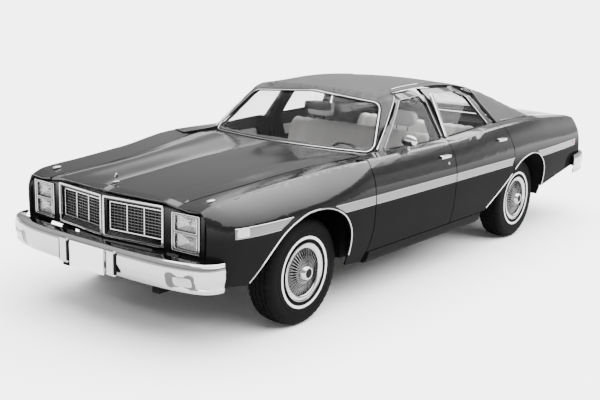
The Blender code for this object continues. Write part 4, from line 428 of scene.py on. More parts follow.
def landing(skin, start, aim):
    """Where a ray lands: its point and the panel's outward normal."""
    place, normal, _, _ = skin.ray_cast(Vector(start), Vector(aim))
    return (place, normal) if place else None


def from_side(skin, side, y, z):
    return landing(skin, (side * 1.4, y, z), (-side, 0, 0))


def from_above(skin, x, y):
    return landing(skin, (x, y, 3.0), (0, 0, -1))


def from_front(skin, x, z):
    return landing(skin, (x, -6.0, z), (0, 1, 0))


def from_back(skin, x, z):
    return landing(skin, (x, 6.0, z), (0, -1, 0))


def spread(low, high, count):
    """Evenly spaced values, both ends included."""
    return [low + (high - low) * i / (count - 1) for i in range(count)]


# %% Fitting pieces
def fitted(name, mesh, body, finish, smooth=35.0):
    """Makes an object of a mesh, with its finish, riding on a body of the car."""
    piece = bpy.data.objects.new(name, mesh)
    bpy.context.scene.collection.objects.link(piece)
    mesh.materials.clear()
    mesh.materials.append(finish)
    mesh.shade_smooth()
    mesh.set_sharp_from_angle(angle=math.radians(smooth))
    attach(piece, body)
    return piece


def mesh_from(name, points, faces):
    mesh = bpy.data.meshes.new(name)
    mesh.from_pydata([tuple(p) for p in points], [], faces)
    made = bmesh.new()
    made.from_mesh(mesh)
    bmesh.ops.recalc_face_normals(made, faces=made.faces)
    made.to_mesh(mesh)
    made.free()
    return mesh


def fit(name, solid, body, finish, smooth=35.0):
    """Fits a piece made of points and faces."""
    return fitted(name, mesh_from(name, *solid), body, finish, smooth)


def rounded_path(corners, radius, steps=4):
    """A closed path of two numbers a point, with its corners rounded."""
    found = []
    for i, corner in enumerate(corners):
        corner = Vector(corner)
        before = Vector(corners[i - 1]) - corner
        after = Vector(corners[(i + 1) % len(corners)]) - corner
        reach = min(radius, before.length * 0.45, after.length * 0.45)
        start, end = corner + before.normalized() * reach, corner + after.normalized() * reach
        for k in range(steps + 1):
            t = k / steps
            found.append((1 - t) ** 2 * start + 2 * t * (1 - t) * corner + t * t * end)
    return found


def even_path(points, gap):
    """Points set about a gap apart along the straight runs of a closed path."""
    found = []
    for i, a in enumerate(points):
        b = points[(i + 1) % len(points)]
        parts = max(1, round((b - a).length / gap))
        found += [a.lerp(b, k / parts) for k in range(parts)]
    return found


def middle_of(outline):
    return sum((Vector(p) for p in outline), Vector((0, 0))) / len(outline)


def tube_faces(rows, wide, closed=False):
    """The faces of rows of points joined into a tube. An open tube gets a cap at each end."""
    faces = []
    for i in range(rows if closed else rows - 1):
        j = (i + 1) % rows
        for k in range(wide):
            m = (k + 1) % wide
            faces.append((i * wide + k, i * wide + m, j * wide + m, j * wide + k))
    if not closed:
        faces += [tuple(range(wide)), tuple((rows - 1) * wide + k for k in range(wide))]
    return faces


def strip_mesh(name, hits, section, closed=False):
    """Carries a cross-section of (across, out) pairs along a path of (place, outward normal) pairs."""
    places = [place for place, _ in hits]
    count, points = len(hits), []
    for i, (place, out) in enumerate(hits):
        before = places[i - 1] if closed or i else places[i]
        after = places[(i + 1) % count] if closed or i < count - 1 else places[i]
        along = (after - before).normalized()
        out = (out - along * out.dot(along)).normalized()
        across = out.cross(along)
        points += [place + across * u + out * v for u, v in section]
    return mesh_from(name, points, tube_faces(count, len(section), closed))


def bead(width, height, sink=0.0015):
    """The cross-section of a half-round bright strip."""
    half = width / 2
    section = [(-half, -sink), (-half, height * 0.35), (-half * 0.6, height * 0.85), (0.0, height)]
    return section + [(half * 0.6, height * 0.85), (half, height * 0.35), (half, -sink)]


def strip(name, body, hits, section, finish, closed=False):
    """A strip of trim along a path. Points that missed the panel are left out."""
    hits = [hit for hit in hits if hit]
    return fitted(name, strip_mesh(name, hits, section, closed), body, finish)


def body_of(panel):
    """A door is a body of its own, and every other side panel belongs to the car's body."""
    return panel if panel.startswith("door") else "body"


SIDES = ((1, "left"), (-1, "right"))
print("sides", len(SIDES))

# %% [markdown]
# ## Smooth outer skins
# The frame's panels are faceted, and gloss paint shows every facet. So each panel is cut into a fine
# grid, and the points of its outer face are moved, by a few millimetres, onto the smooth surface that
# the facets follow. The surface is a set of curves along the car: its widest line, the shoulder
# crease, the hood's edge and the greenhouse's planes blended into one another.


# %% Curves along the car
FRONT_AXLE_Y, REAR_AXLE_Y = -1.7885, 1.1965


def smooth_curve(*points):
    """A function through points, smooth and with no overshoot between them."""
    xs, ys = [p[0] for p in points], [p[1] for p in points]
    steps = [b - a for a, b in zip(xs, xs[1:])]
    slopes = [(b - a) / h for a, b, h in zip(ys, ys[1:], steps)]
    middle = [2 * a * b / (a + b) if a * b > 0 else 0.0 for a, b in zip(slopes, slopes[1:])]
    tangents = [slopes[0], *middle, slopes[-1]]

    def value(x):
        x = min(max(x, xs[0]), xs[-1])
        i = max(k for k in range(len(steps)) if xs[k] <= x)
        h = steps[i]
        t = (x - xs[i]) / h
        low = (1 + 2 * t) * (1 - t) ** 2 * ys[i] + t * (1 - t) ** 2 * h * tangents[i]
        return low + t * t * (3 - 2 * t) * ys[i + 1] + t * t * (t - 1) * h * tangents[i + 1]

    return value


def along_car(ahead, behind):
    """A smooth curve from stations measured back from the front axle and from the rear axle."""
    front = [(FRONT_AXLE_Y + y, value) for y, value in ahead]
    return smooth_curve(*front, *[(REAR_AXLE_Y + y, value) for y, value in behind])


plan_x = along_car(
    ((-0.80, 0.785), (-0.73, 0.88), (-0.64, 0.925), (-0.45, 0.953), (0, 0.968), (0.6, 0.979), (1.5, 0.985)),
    ((-0.40, 0.985), (0.30, 0.972), (0.80, 0.945), (1.15, 0.915), (1.35, 0.893)),
)
crease_x = along_car(
    ((-0.80, 0.763), (-0.73, 0.773), (-0.50, 0.775), (0, 0.800), (0.30, 0.850), (0.60, 0.905), (1, 0.910)),
    ((-0.40, 0.907), (0.30, 0.890), (0.80, 0.863), (1.35, 0.825)),
)
crease_z = along_car(
    ((-0.80, 0.828), (-0.7, 0.862), (-0.4, 0.888), (0, 0.920), (0.55, 0.964), (0.9, 0.966), (1.7, 0.968)),
    ((-0.38, 1.006), (0.10, 1.010), (0.60, 0.982), (1.00, 0.952), (1.25, 0.934)),
)
hood_edge_x = along_car(((-0.85, 0.566), (-0.22, 0.577), (0.40, 0.657), (0.652, 0.732), (0.90, 0.752)), ())
hood_edge_z = along_car(((-0.85, 0.832), (-0.70, 0.854), (-0.22, 0.884), (0.40, 0.940), (0.80, 0.964)), ())
hood_middle_z = along_car(
    ((-0.86, 0.866), (-0.78, 0.888), (-0.46, 0.918), (0.035, 0.958), (0.80, 0.984)), ()
)
deck_middle_z = along_car((), ((0.30, 1.040), (0.50, 1.026), (0.90, 0.996), (1.15, 0.972), (1.225, 0.950)))
quarter_top_z = along_car((), ((-0.40, 1.036), (0.28, 1.036), (0.35, 1.029), (0.50, 1.0118)))
side_base_x = along_car(
    ((0.62, 0.712), (0.94, 0.760), (1.13, 0.807), (1.326, 0.845), (1.60, 0.862)),
    ((-0.30, 0.862), (0.40, 0.856)),
)
print("curves", 10)


# %% Surfaces
def share_between(value, low, high):
    return max(0.0, min(1.0, (value - low) / (high - low)))


def belt_height(y):
    """The height of the window line along the car."""
    ahead, along = 1 - share_between(y, -1.1645, -0.8185), 1 - share_between(y, -0.8185, -0.0885)
    return 1.0 - 0.016 * ahead - 0.018 * along + 0.036 * share_between(y, -0.0885, 0.8015)


def side_x(y, z):
    """The half width of the body side at a station and a height."""
    widest = plan_x(y)
    if z >= 0.72:
        return widest - (widest - crease_x(y)) * min(1.0, (z - 0.72) / (crease_z(y) - 0.72)) ** 2.2
    return widest - 0.055 * min(1.0, (0.72 - z) / 0.418) ** 2.5


def nose_y(x):
    """The station of the nose's face."""
    return -2.6385 + 0.118 * min(abs(x), 0.475) + 0.060 * max(0.0, abs(x) - 0.475)


def hood_z(x, y):
    """The hood: a sharp ridge in the middle and a raised band near each edge."""
    edge, middle = hood_edge_z(y), hood_middle_z(y)
    across = min(1.0, abs(x) / hood_edge_x(y))
    crown = edge + (middle - 0.012 - edge) * (1 - across**2)
    ridge, fold = math.exp(-((abs(x) / 0.055) ** 1.2)), math.exp(-(((across - 0.80) / 0.12) ** 2))
    return crown + 0.012 * ridge + 0.007 * fold


def deck_z(x, y):
    return deck_middle_z(y) - 0.014 * (x / 0.690) ** 2


def soft_min(a, b, width):
    """The smaller of two heights, rounded over where they meet."""
    low, high = min(a, b), max(a, b)
    return low - width * math.log1p(math.exp((low - high) / width))


def cabin_z(x, y):
    """The upper body: windscreen, roof, backlight and side planes blended together."""
    side = 1.0 + (side_base_x(y) - abs(x)) / 0.70
    screen = 0.965 + 0.886 * (y + 0.9805 - 0.112 * (x / 0.746) ** 2)
    back = 1.0 + 0.36 * (1.6265 - 0.080 * (x / 0.8) ** 2 - y)
    roof = 1.3783 - 0.035 * (x / 0.617) ** 2 - 0.10 * (y - 0.1115) ** 2
    return soft_min(soft_min(soft_min(roof, screen, 0.008), back, 0.010), side, 0.010)


# %% Where an outer point belongs
def on_side(p, normal):
    """On the body side, below or at the shoulder crease."""
    edge_x, edge_z = crease_x(p.y), crease_z(p.y)
    if abs(p.z - edge_z) < 0.006 and abs(p.x - edge_x) < 0.010:
        return Vector((edge_x, p.y, edge_z))
    if normal.x > 0.4 and p.z < edge_z:
        return Vector((side_x(p.y, p.z), p.y, p.z))
    return None


def on_fender(p, normal):
    """On the body side, or on the fender's top between the hood and the crease."""
    if on_side(p, normal) or normal.z < 0.6:
        return on_side(p, normal)
    low_x, low_z = hood_edge_x(p.y) + 0.004, hood_edge_z(p.y)
    ridge_x, ridge_z = crease_x(p.y) - 0.016, crease_z(p.y) + 0.008
    x = low_x if abs(p.x - low_x) < 0.005 else p.x
    s = (x - low_x) / (ridge_x - low_x)
    if s <= 1.0:
        return Vector((x, p.y, low_z + (ridge_z - low_z) * s - 0.016 * s * (1 - s)))
    return Vector((x, p.y, ridge_z - 0.008 * (x - ridge_x) / 0.016))


def on_quarter(p, normal):
    """On the body side, or on the rear quarter's top."""
    if on_side(p, normal) or normal.z < 0.5:
        return on_side(p, normal)
    top = quarter_top_z(p.y) if p.y < 1.6965 else deck_z(0.690, p.y)
    shoulder = 0.835 - 0.035 * share_between(p.y, 1.4965, 1.6965)
    low_x, low_z = crease_x(p.y) - 0.014, min(crease_z(p.y) + 0.012, top)
    if p.x <= shoulder:
        return Vector((p.x, p.y, top))
    if p.x <= low_x:
        return Vector((p.x, p.y, top + (low_z - top) * (p.x - shoulder) / (low_x - shoulder)))
    return None


def on_hood(p, normal):
    if normal.z < 0.6:
        return None
    edge = hood_edge_x(p.y) - 0.004
    x = math.copysign(edge, p.x) if abs(abs(p.x) - edge) < 0.005 else p.x
    start = nose_y(x) + 0.004
    lip = 0.004 * max(0.0, 1 - (p.y - start) / (-1.0385 - start) / 0.03)
    return Vector((x, p.y, hood_z(x, p.y) - lip))


def on_deck(p, normal):
    return Vector((p.x, p.y, deck_z(p.x, p.y))) if normal.z > 0.6 and p.y < 2.392 else None


def on_cabin(depth, wall):
    """On the upper body's surface, sunk by a depth. Points of the inner face lie a wall deeper."""

    def goal(p, normal):
        found = p.copy()
        for _ in range(3):
            x, y, e = found.x, found.y, 0.0005
            lean_x = (cabin_z(x + e, y) - cabin_z(x - e, y)) / (2 * e)
            lean_y = (cabin_z(x, y + e) - cabin_z(x, y - e)) / (2 * e)
            out = Vector((-lean_x, -lean_y, 1.0))
            facing = normal.dot(out.normalized())
            if abs(facing) < 0.6 or facing < 0 and not wall:
                return None
            sunk = depth + (wall if facing < 0 else 0.0)
            found += out * ((cabin_z(x, y) - found.z) / out.length_squared - sunk / out.length)
        return found

    return goal


def on_door(p, normal):
    """On the body side, on the shoulder above it, or on the window frame."""
    if p.z < crease_z(p.y) + 0.006:
        return on_side(p, normal)
    if abs(p.z - crease_z(p.y) - 0.012) < 0.005 and normal.x + normal.z > 0.5:
        return Vector((crease_x(p.y) - 0.014, p.y, crease_z(p.y) + 0.012))
    return on_cabin(DOOR_FRAME_DEPTH, 0.0)(p, normal) if p.z > 1.05 else None


# %% Cutting and settling the panels
RIDGE_CUTS = (-0.034, -0.020, -0.011, -0.005, 0.005, 0.011, 0.020, 0.034)
PANEL_REACH, ROOF_REACH, NOSE_REACH, NOSE_END_Y = 0.012, 0.022, 0.035, -2.40


def settled(name, goal, pitch):
    """A panel's mesh, cut by planes at the pitches given and settled onto its smooth surface."""
    made = bmesh.new()
    made.from_mesh(nodes[name].data)
    for axis in range(3):
        values = [vertex.co[axis] for vertex in made.verts]
        cuts = int((max(values) - min(values)) / pitch[axis])
        places = [min(values) + (max(values) - min(values)) * (i + 1) / (cuts + 1) for i in range(cuts)]
        for place in places + list(RIDGE_CUTS if name == "hood" and axis == 0 else ()):
            level, across = Vector(), Vector()
            level[axis], across[axis] = place, 1.0
            geometry = made.verts[:] + made.edges[:] + made.faces[:]
            bmesh.ops.bisect_plane(made, geom=geometry, dist=0.00001, plane_co=level, plane_no=across)
    goals = {}
    for face in made.faces:
        for vertex in face.verts:
            place = goal(vertex.co, face.normal)
            reach = ROOF_REACH if name == "roof" else PANEL_REACH
            if "fender" in name and vertex.co.y < NOSE_END_Y:
                reach = NOSE_REACH
            if place and (place - vertex.co).length < reach:
                goals[vertex] = place
    for vertex, place in goals.items():
        vertex.co = place
    mesh = bpy.data.meshes.new(f"{name}_skin")
    made.to_mesh(mesh)
    made.free()
    return mesh


def mirror_mesh(mesh, name):
    """The same mesh on the car's other side."""
    made = bmesh.new()
    made.from_mesh(mesh)
    for vertex in made.verts:
        vertex.co.x = -vertex.co.x
    bmesh.ops.reverse_faces(made, faces=made.faces)
    other = bpy.data.meshes.new(name)
    made.to_mesh(other)
    made.free()
    return other


# %% The smooth panels
GLASS_WALL, SCREEN_DEPTH, SIDE_GLASS_DEPTH, DOOR_FRAME_DEPTH = 0.005, 0.008, 0.010, 0.002
GLASS_PITCH = (1.0, 0.060, 0.060)
panel_mesh = {name: solid.data for name, solid in nodes.items()}
smooth_panels = (
    ("hood", "hood", on_hood, (0.030, 0.045, 1.0)),
    ("deck_lid", "deck_lid", on_deck, (0.060, 0.050, 1.0)),
    ("roof", "body", on_cabin(0.0, 0.0), (0.045, 0.045, 1.0)),
    ("windscreen", "body", on_cabin(SCREEN_DEPTH, GLASS_WALL), (0.060, 1.0, 0.030)),
    ("backlight", "body", on_cabin(SCREEN_DEPTH, GLASS_WALL), (0.060, 0.060, 1.0)),
    ("fender_left", "body", on_fender, (0.040, 0.013, 0.016)),
    ("quarter_left", "body", on_quarter, (0.050, 0.030, 0.020)),
    ("door_front_left", "door_front_left", on_door, (1.0, 0.050, 0.030)),
    ("door_rear_left", "door_rear_left", on_door, (1.0, 0.050, 0.030)),
    ("door_front_glass_left", "door_front_left", on_cabin(SIDE_GLASS_DEPTH, GLASS_WALL), GLASS_PITCH),
    ("door_rear_glass_left", "door_rear_left", on_cabin(SIDE_GLASS_DEPTH, GLASS_WALL), GLASS_PITCH),
)
for name, body, goal, pitch in smooth_panels:
    mesh = settled(name, goal, pitch)
    pairs = [(name, body, mesh)]
    if "left" in name:
        other = name.replace("left", "right")
        pairs.append((other, body.replace("left", "right"), mirror_mesh(mesh, f"{other}_skin")))
    for node, ridden, skin_mesh in pairs:
        finish = nodes[node].data.materials[0]
        panel_mesh[node] = skin_mesh
        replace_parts(fitted(f"{node}_skin", skin_mesh, ridden, finish, 28.0), node)
face_count = sum(len(mesh.polygons) for mesh in panel_mesh.values())
print("smooth panels", len(smooth_panels), "and", face_count, "faces")

# %% [markdown]
# ## The pale stripe along the sides
# A vinyl stripe between two bright beads runs along the car at waist height, cut where a door shuts
# and where a wheel opening rises through it. Each length is laid on its own panel, so a door takes
# its part along when it swings.

# %% Laying a band on a panel
STRIPE_LOW, STRIPE_HIGH = 0.695, 0.750
DOOR_FRONT_Y, DOOR_SPLIT_Y, DOOR_REAR_LOW_Y = -1.1645, -0.0885, 0.8965


def band(name, panel, side, start, end, finish, levels=5, stations=14, proud=0.0025):
    """A sheet on a panel's side. Each slanted end is given as its stations at the low and high edge."""
    skin = skin_of(panel)
    rows = []
    for k in range(levels):
        share = k / (levels - 1)
        z = STRIPE_LOW + (STRIPE_HIGH - STRIPE_LOW) * share
        low = start[0] + (start[1] - start[0]) * share
        high = end[0] + (end[1] - end[0]) * share
        row = [from_side(skin, side, y, z) for y in spread(low, high, stations)]
        rows.append([hit for hit in row if hit])
    wide = min(len(row) for row in rows)
    rows = [row[:wide] for row in rows]
    points = [place + out * proud for row in rows for place, out in row]
    points += [place - out * 0.001 for row in rows for place, out in row]
    back = levels * wide
    faces = []
    for k in range(levels - 1):
        for i in range(wide - 1):
            a = k * wide + i
            faces.append((a, a + 1, a + wide + 1, a + wide))
            faces.append((back + a, back + a + wide, back + a + wide + 1, back + a + 1))
    rim = list(range(wide)) + [k * wide + wide - 1 for k in range(1, levels)]
    rim += [(levels - 1) * wide + i for i in range(wide - 2, -1, -1)]
    rim += [k * wide for k in range(levels - 2, 0, -1)]
    for a, b in zip(rim, rim[1:] + rim[:1]):
        faces.append((a, b, back + b, back + a))
    fit(name, (points, faces), body_of(panel), finish)
    for edge, row in (("low", rows[0]), ("high", rows[-1])):
        strip(f"{name}_{edge}_bead", body_of(panel), row, bead(0.007, 0.0045), chrome)


# %% The stripe's lengths
SHUT = 0.006
stripe_lengths = (
    ("fender", "ahead", (-2.470, -2.470), (-2.125, -2.015)),
    ("fender", "behind", (-1.505, -1.610), [DOOR_FRONT_Y - SHUT] * 2),
    ("door_front", "whole", [DOOR_FRONT_Y + SHUT] * 2, [DOOR_SPLIT_Y - SHUT] * 2),
    ("door_rear", "whole", [DOOR_SPLIT_Y + SHUT] * 2, (0.852, DOOR_REAR_LOW_Y - SHUT)),
    ("quarter", "behind", (1.462, 1.370), (2.330, 2.330)),
)
for side, word in SIDES:
    for panel, part, start, end in stripe_lengths:
        band(f"stripe_{panel}_{part}_{word}", f"{panel}_{word}", side, start, end, stripe_vinyl)
print("stripe lengths", 2 * len(stripe_lengths))

# %% [markdown]
# ## Bright lips round the wheel openings
# Each opening is drawn out forwards and drops steeply behind. The same smooth curve that cuts the
# panel gives the lip, moved out by its own half width and laid on the panel.

# %% Wheel opening lips
FRONT_ARCH = [(-0.620, 0.330), (-0.540, 0.430), (-0.320, 0.642), (-0.140, 0.728), (0.000, 0.748)]
FRONT_ARCH += [(0.140, 0.735), (0.275, 0.675), (0.352, 0.580), (0.372, 0.470), (0.365, 0.330)]
REAR_ARCH = [(-0.760, 0.330), (-0.680, 0.395), (-0.380, 0.575), (-0.180, 0.695), (0.020, 0.738)]
REAR_ARCH += [(0.160, 0.728), (0.270, 0.675), (0.345, 0.590), (0.365, 0.480), (0.360, 0.330)]


def curve_through(points, per_span):
    """A smooth curve through points, by Catmull and Rom's rule."""
    points = [Vector(p) for p in points]
    found = []
    for i in range(len(points) - 1):
        a, b, c, d = points[max(i - 1, 0)], points[i], points[i + 1], points[min(i + 2, len(points) - 1)]
        for k in range(per_span):
            t = k / per_span
            bend, twist = 2 * a - 5 * b + 4 * c - d, 3 * b - a - 3 * c + d
            found.append(0.5 * (2 * b + (c - a) * t + bend * t * t + twist * t**3))
    return [*found, points[-1]]


def moved_out(curve, distance, closed=False):
    """A flat curve moved to its left by a distance."""
    found = []
    count = len(curve)
    for i, point in enumerate(curve):
        before = curve[i - 1] if closed or i else point
        after = curve[(i + 1) % count] if closed or i < count - 1 else point
        along = (after - before).normalized()
        found.append(point + Vector((-along.y, along.x)) * distance)
    return found


def arch_line(axle_y, arch, per_span, out):
    return moved_out([Vector((axle_y + y, z)) for y, z in curve_through(arch, per_span)], out)


LIP_OUT, LIP_GAP, LIP, FAR = 0.007, 0.008, bead(0.009, 0.005), 9.0
for side, word in SIDES:
    for name, panel, axle_y, arch, low_z, start, end in (
        ("front_lip", "fender", FRONT_AXLE_Y, FRONT_ARCH, 0.375, -FAR, FAR),
        ("rear_lip_ahead", "door_rear", REAR_AXLE_Y, REAR_ARCH, 0.375, -FAR, DOOR_REAR_LOW_Y - LIP_GAP),
        ("rear_lip", "quarter", REAR_AXLE_Y, REAR_ARCH, 0.415, DOOR_REAR_LOW_Y + LIP_GAP, FAR),
    ):
        skin = skin_of(f"{panel}_{word}")
        line = [p for p in arch_line(axle_y, arch, 8, LIP_OUT) if p.y > low_z and start < p.x < end]
        hits = [from_side(skin, side, p.x, p.y) for p in line]
        strip(f"{name}_{word}", body_of(f"{panel}_{word}"), hits, LIP, chrome)
print("wheel opening lips", 6)

# %% [markdown]
# A pressed liner closes each rear opening over the wheel. It follows the same curve just outside the
# opening. Ahead of the wheel it stops inside the door, which swings clear of it.

# %% Rear wheel liners
LINER_IN, LINER_IN_DOOR, LINER_OUT = 0.600, 0.800, 0.016
for side, word in SIDES:
    points, faces = [], []
    for p in arch_line(REAR_AXLE_Y, REAR_ARCH, 6, LINER_OUT):
        outer = LINER_IN_DOOR if p.x < DOOR_REAR_LOW_Y + 0.03 else side_x(p.x, p.y) - LINER_OUT
        points += [Vector((side * LINER_IN, p.x, p.y)), Vector((side * outer, p.x, p.y))]
    for k in range(0, len(points) - 3, 2):
        faces.append((k, k + 1, k + 3, k + 2))
    fit(f"rear_liner_{word}", (points, faces), "body", chassis_coat)
print("liners", 2)

# %% [markdown]
# ## Bright work round the glass
# Two bright lines with a dark gap between them frame the side windows. The outer one is the drip rail,
# which stays on the roof. The inner one is the edge of the door's own frame, so it moves with the door.

# %% Lines on the cabin
def solved(is_inside, low, high):
    """The value at which a test stops holding, by halving."""
    for _ in range(30):
        middle = (low + high) / 2
        low, high = (middle, high) if is_inside(middle) else (low, middle)
    return low


def on_shell(x, y):
    """A point of the upper body with its outward normal."""
    e = 0.001
    lean_x = (cabin_z(x + e, y) - cabin_z(x - e, y)) / (2 * e)
    lean_y = (cabin_z(x, y + e) - cabin_z(x, y - e)) / (2 * e)
    return Vector((x, y, cabin_z(x, y))), Vector((-lean_x, -lean_y, 1.0)).normalized()


def cabin_side(side, y, z):
    return on_shell(side * solved(lambda x: cabin_z(x, y) > z, 0.0, 1.0), y)


def cabin_front(x, z):
    return on_shell(x, solved(lambda y: cabin_z(x, y) < z, -1.15, 0.0))


# %% Drip rails
SIDE_OPENING = [(-0.8985, 0.925), (-0.8505, 0.966), (-0.6695, 1.123), (-0.4635, 1.287), (-0.3485, 1.324)]
SIDE_OPENING += [(-0.0735, 1.345), (0.2615, 1.348), (0.5515, 1.332), (0.6365, 1.290), (0.6915, 1.200)]
SIDE_OPENING += [(0.7915, 1.050), (0.8165, 0.940)]
roof_skin = skin_of("roof")
for side, word in SIDES:
    line = moved_out(curve_through(SIDE_OPENING, 8), 0.009)
    hits = [cabin_side(side, p.x, p.y) for p in line if p.y > belt_height(p.x) + 0.004]
    section = [(-0.004, -0.003), (-0.004, 0.004), (-0.001, 0.007)]
    section += [(0.003, 0.007), (0.0045, 0.003), (0.0045, -0.003)]
    strip(f"drip_rail_{word}", "body", hits, section, chrome)

# %% Window frames on the doors
FRONT_GLASS = [(-0.7845, 0.984), (-0.4635, 1.240), (-0.4085, 1.282), (-0.0905, 1.300), (-0.1285, 0.999)]
REAR_GLASS = [(-0.0405, 0.999), (0.0735, 1.306), (0.4615, 1.292), (0.5265, 1.250), (0.6465, 1.035)]
for side, word in SIDES:
    for door, corners in (("door_front", FRONT_GLASS), ("door_rear", REAR_GLASS)):
        around = moved_out(even_path(rounded_path(corners, 0.020), 0.02), 0.007, closed=True)
        ahead = [cabin_side(side, p.x, p.y) for p in around if p.y > belt_height(p.x) + 0.012]
        turn = max(range(len(ahead)), key=lambda i: (ahead[i][0] - ahead[i - 1][0]).length)
        hits = ahead[turn:] + ahead[:turn]
        strip(f"{door}_frame_{word}", f"{door}_{word}", hits, bead(0.006, 0.004), chrome)
    hits = [cabin_side(side, -0.058 + 0.10 * t, 1.010 + 0.298 * t) for t in spread(0.0, 1.0, 8)]
    strip(f"bright_post_{word}", f"door_rear_{word}", hits, bead(0.026, 0.004), chrome)
    hits = [cabin_side(side, -0.099 + 0.028 * t, 1.008 + 0.300 * t) for t in spread(0.0, 1.0, 8)]
    strip(f"dark_post_{word}", f"door_front_{word}", hits, bead(0.034, 0.0025), black_trim)
print("window frames", 4)

# %% Windscreen and backlight surrounds
SCREEN_CORNERS = [(0.728, 0.978), (0.583, 1.262), (0.0, 1.308), (-0.583, 1.262), (-0.728, 0.978)]
line = moved_out(even_path(rounded_path(SCREEN_CORNERS, 0.05), 0.03), -0.010, closed=True)
hits = [cabin_front(p.x, p.y) for p in line]
strip("screen_surround", "body", hits, bead(0.011, 0.006), chrome, closed=True)
section = [(u * 1.9, v * 0.35) for u, v in bead(0.016, 0.007)]
strip("screen_rubber", "body", hits, section, black_trim, closed=True)

BACKLIGHT_CORNERS = [(0.0, 0.7965), (0.530, 0.8115), (0.640, 1.4215), (0.0, 1.4825)]
BACKLIGHT_CORNERS += [(-0.640, 1.4215), (-0.530, 0.8115)]
line = moved_out(even_path(rounded_path(BACKLIGHT_CORNERS, 0.05), 0.03), -0.008, closed=True)
hits = [on_shell(p.x, p.y) for p in line]
strip("backlight_surround", "body", hits, bead(0.014, 0.006), chrome, closed=True)
print("surrounds", 2)

# %% [markdown]
# The vinyl stops along the quarter panel under a bright moulding, and two welted seams run from the
# windscreen to the backlight. At the foot of the side glass a black lip wipes the window as it drops.

# %% Roof edge and seams
for side, word in SIDES:
    hits = [from_side(roof_skin, side, y, 1.044) for y in spread(0.870, 1.480, 16)]
    strip(f"vinyl_edge_{word}", "body", hits, bead(0.010, 0.006), chrome)
    hits = [from_above(roof_skin, side * (0.44 - 0.02 * t), -0.36 + 1.12 * t) for t in spread(0.0, 1.0, 24)]
    strip(f"roof_seam_{word}", "body", hits, bead(0.009, 0.0022), roof_vinyl)


# %% Window seals
for side, word in SIDES:
    for door, low, high in (("door_front", -0.775, -0.125), ("door_rear", -0.045, 0.655)):
        skin = skin_of(f"{door}_glass_{word}")
        hits = []
        for y in spread(low, high, 12):
            hit = from_side(skin, side, y, belt_height(y) + 0.006)
            if hit:
                hits.append((hit[0] + Vector((side * 0.005, 0, -0.004)), hit[1]))
        strip(f"{door}_seal_{word}", f"{door}_{word}", hits, bead(0.016, 0.004, 0.004), black_trim)
print("seals", 4)

# %% [markdown]
# ## Wheels
# The covers are wire-style: satin wires cross between a raised hub and a wide rim band, over a dark
# dish. A lathe profile turned about the axle gives the bands, and each wire is a thin five-sided bar.
# The cover is drawn once for the car's left and mirrored for its right.

# %% Turning a profile about the axle
AXLE_Z, HALF_TRACK = 0.345, 0.787
ENDS = (("front", FRONT_AXLE_Y), ("rear", REAR_AXLE_Y))
WHEELS = [(end, y, side, word) for end, y in ENDS for side, word in SIDES]


def lathe(profile, steps, wave=None):
    """Points and faces of (radius, along X) pairs turned about X. A wave may change a point's radius."""
    points, faces = [], []
    count = len(profile)
    for i in range(steps):
        angle = 2 * math.pi * i / steps
        for k, (radius, along) in enumerate(profile):
            reach = radius + (wave(i, k) if wave else 0.0)
            points.append(Vector((along, reach * math.cos(angle), reach * math.sin(angle))))
    for i in range(steps):
        j = (i + 1) % steps
        for k in range(count - 1):
            faces.append((i * count + k, i * count + k + 1, j * count + k + 1, j * count + k))
    return points, faces


def bar(start, end, radius, sides=6, end_radius=None):
    """Points and faces of a thin bar between two points."""
    start, end = Vector(start), Vector(end)
    along = (end - start).normalized()
    helper = Vector((0, 0, 1)) if abs(along.z) < 0.9 else Vector((1, 0, 0))
    across = along.cross(helper).normalized()
    other = along.cross(across)
    points, faces = [], []
    for place, reach in ((start, radius), (end, radius if end_radius is None else end_radius)):
        for k in range(sides):
            angle = 2 * math.pi * k / sides
            points.append(place + across * (reach * math.cos(angle)) + other * (reach * math.sin(angle)))
    for k in range(sides):
        m = (k + 1) % sides
        faces.append((k, m, sides + m, sides + k))
    faces += [tuple(range(sides)), tuple(sides + k for k in range(sides))]
    return points, faces


def merged(*parts):
    """One list of points and faces from several."""
    points, faces = [], []
    for some_points, some_faces in parts:
        start = len(points)
        points += some_points
        faces += [tuple(start + i for i in face) for face in some_faces]
    return points, faces


def moved(points, place, side=1):
    """Points moved to a place, mirrored first for the right side."""
    return [Vector((side * p.x, p.y, p.z)) + Vector(place) for p in points]


# %% Wheel covers
cover_profile = [(0.1894, -0.080), (0.1894, 0.090), (0.187, 0.0950), (0.183, 0.0965), (0.179, 0.0945)]
cover_profile += [(0.176, 0.0925), (0.168, 0.0925), (0.156, 0.0890), (0.152, 0.0850), (0.150, 0.070)]
cover_profile += [(0.148, 0.062)]
hub_profile = [(0.056, 0.060), (0.054, 0.100), (0.050, 0.112), (0.046, 0.118), (0.041, 0.127)]
hub_profile += [(0.037, 0.1295), (0.030, 0.128)]
cap_profile = [(0.031, 0.127), (0.028, 0.1235), (0.015, 0.1265), (0.0, 0.1275)]
dish_profile = [(0.152, 0.064), (0.120, 0.050), (0.054, 0.060)]
WIRES, WIRE_RADIUS, WIRE_LEAN = 38, 0.0012, 0.17
wires = []
for i in range(WIRES):
    for lean, lift in ((WIRE_LEAN, 0.0), (-WIRE_LEAN, 0.004)):
        a = 2 * math.pi * (i + 0.5 * (lean > 0)) / WIRES
        inner = (0.110 - lift, 0.052 * math.cos(a), 0.052 * math.sin(a))
        outer = (0.0760 - lift, 0.150 * math.cos(a + lean), 0.150 * math.sin(a + lean))
        wires.append(bar(inner, outer, WIRE_RADIUS, 5))

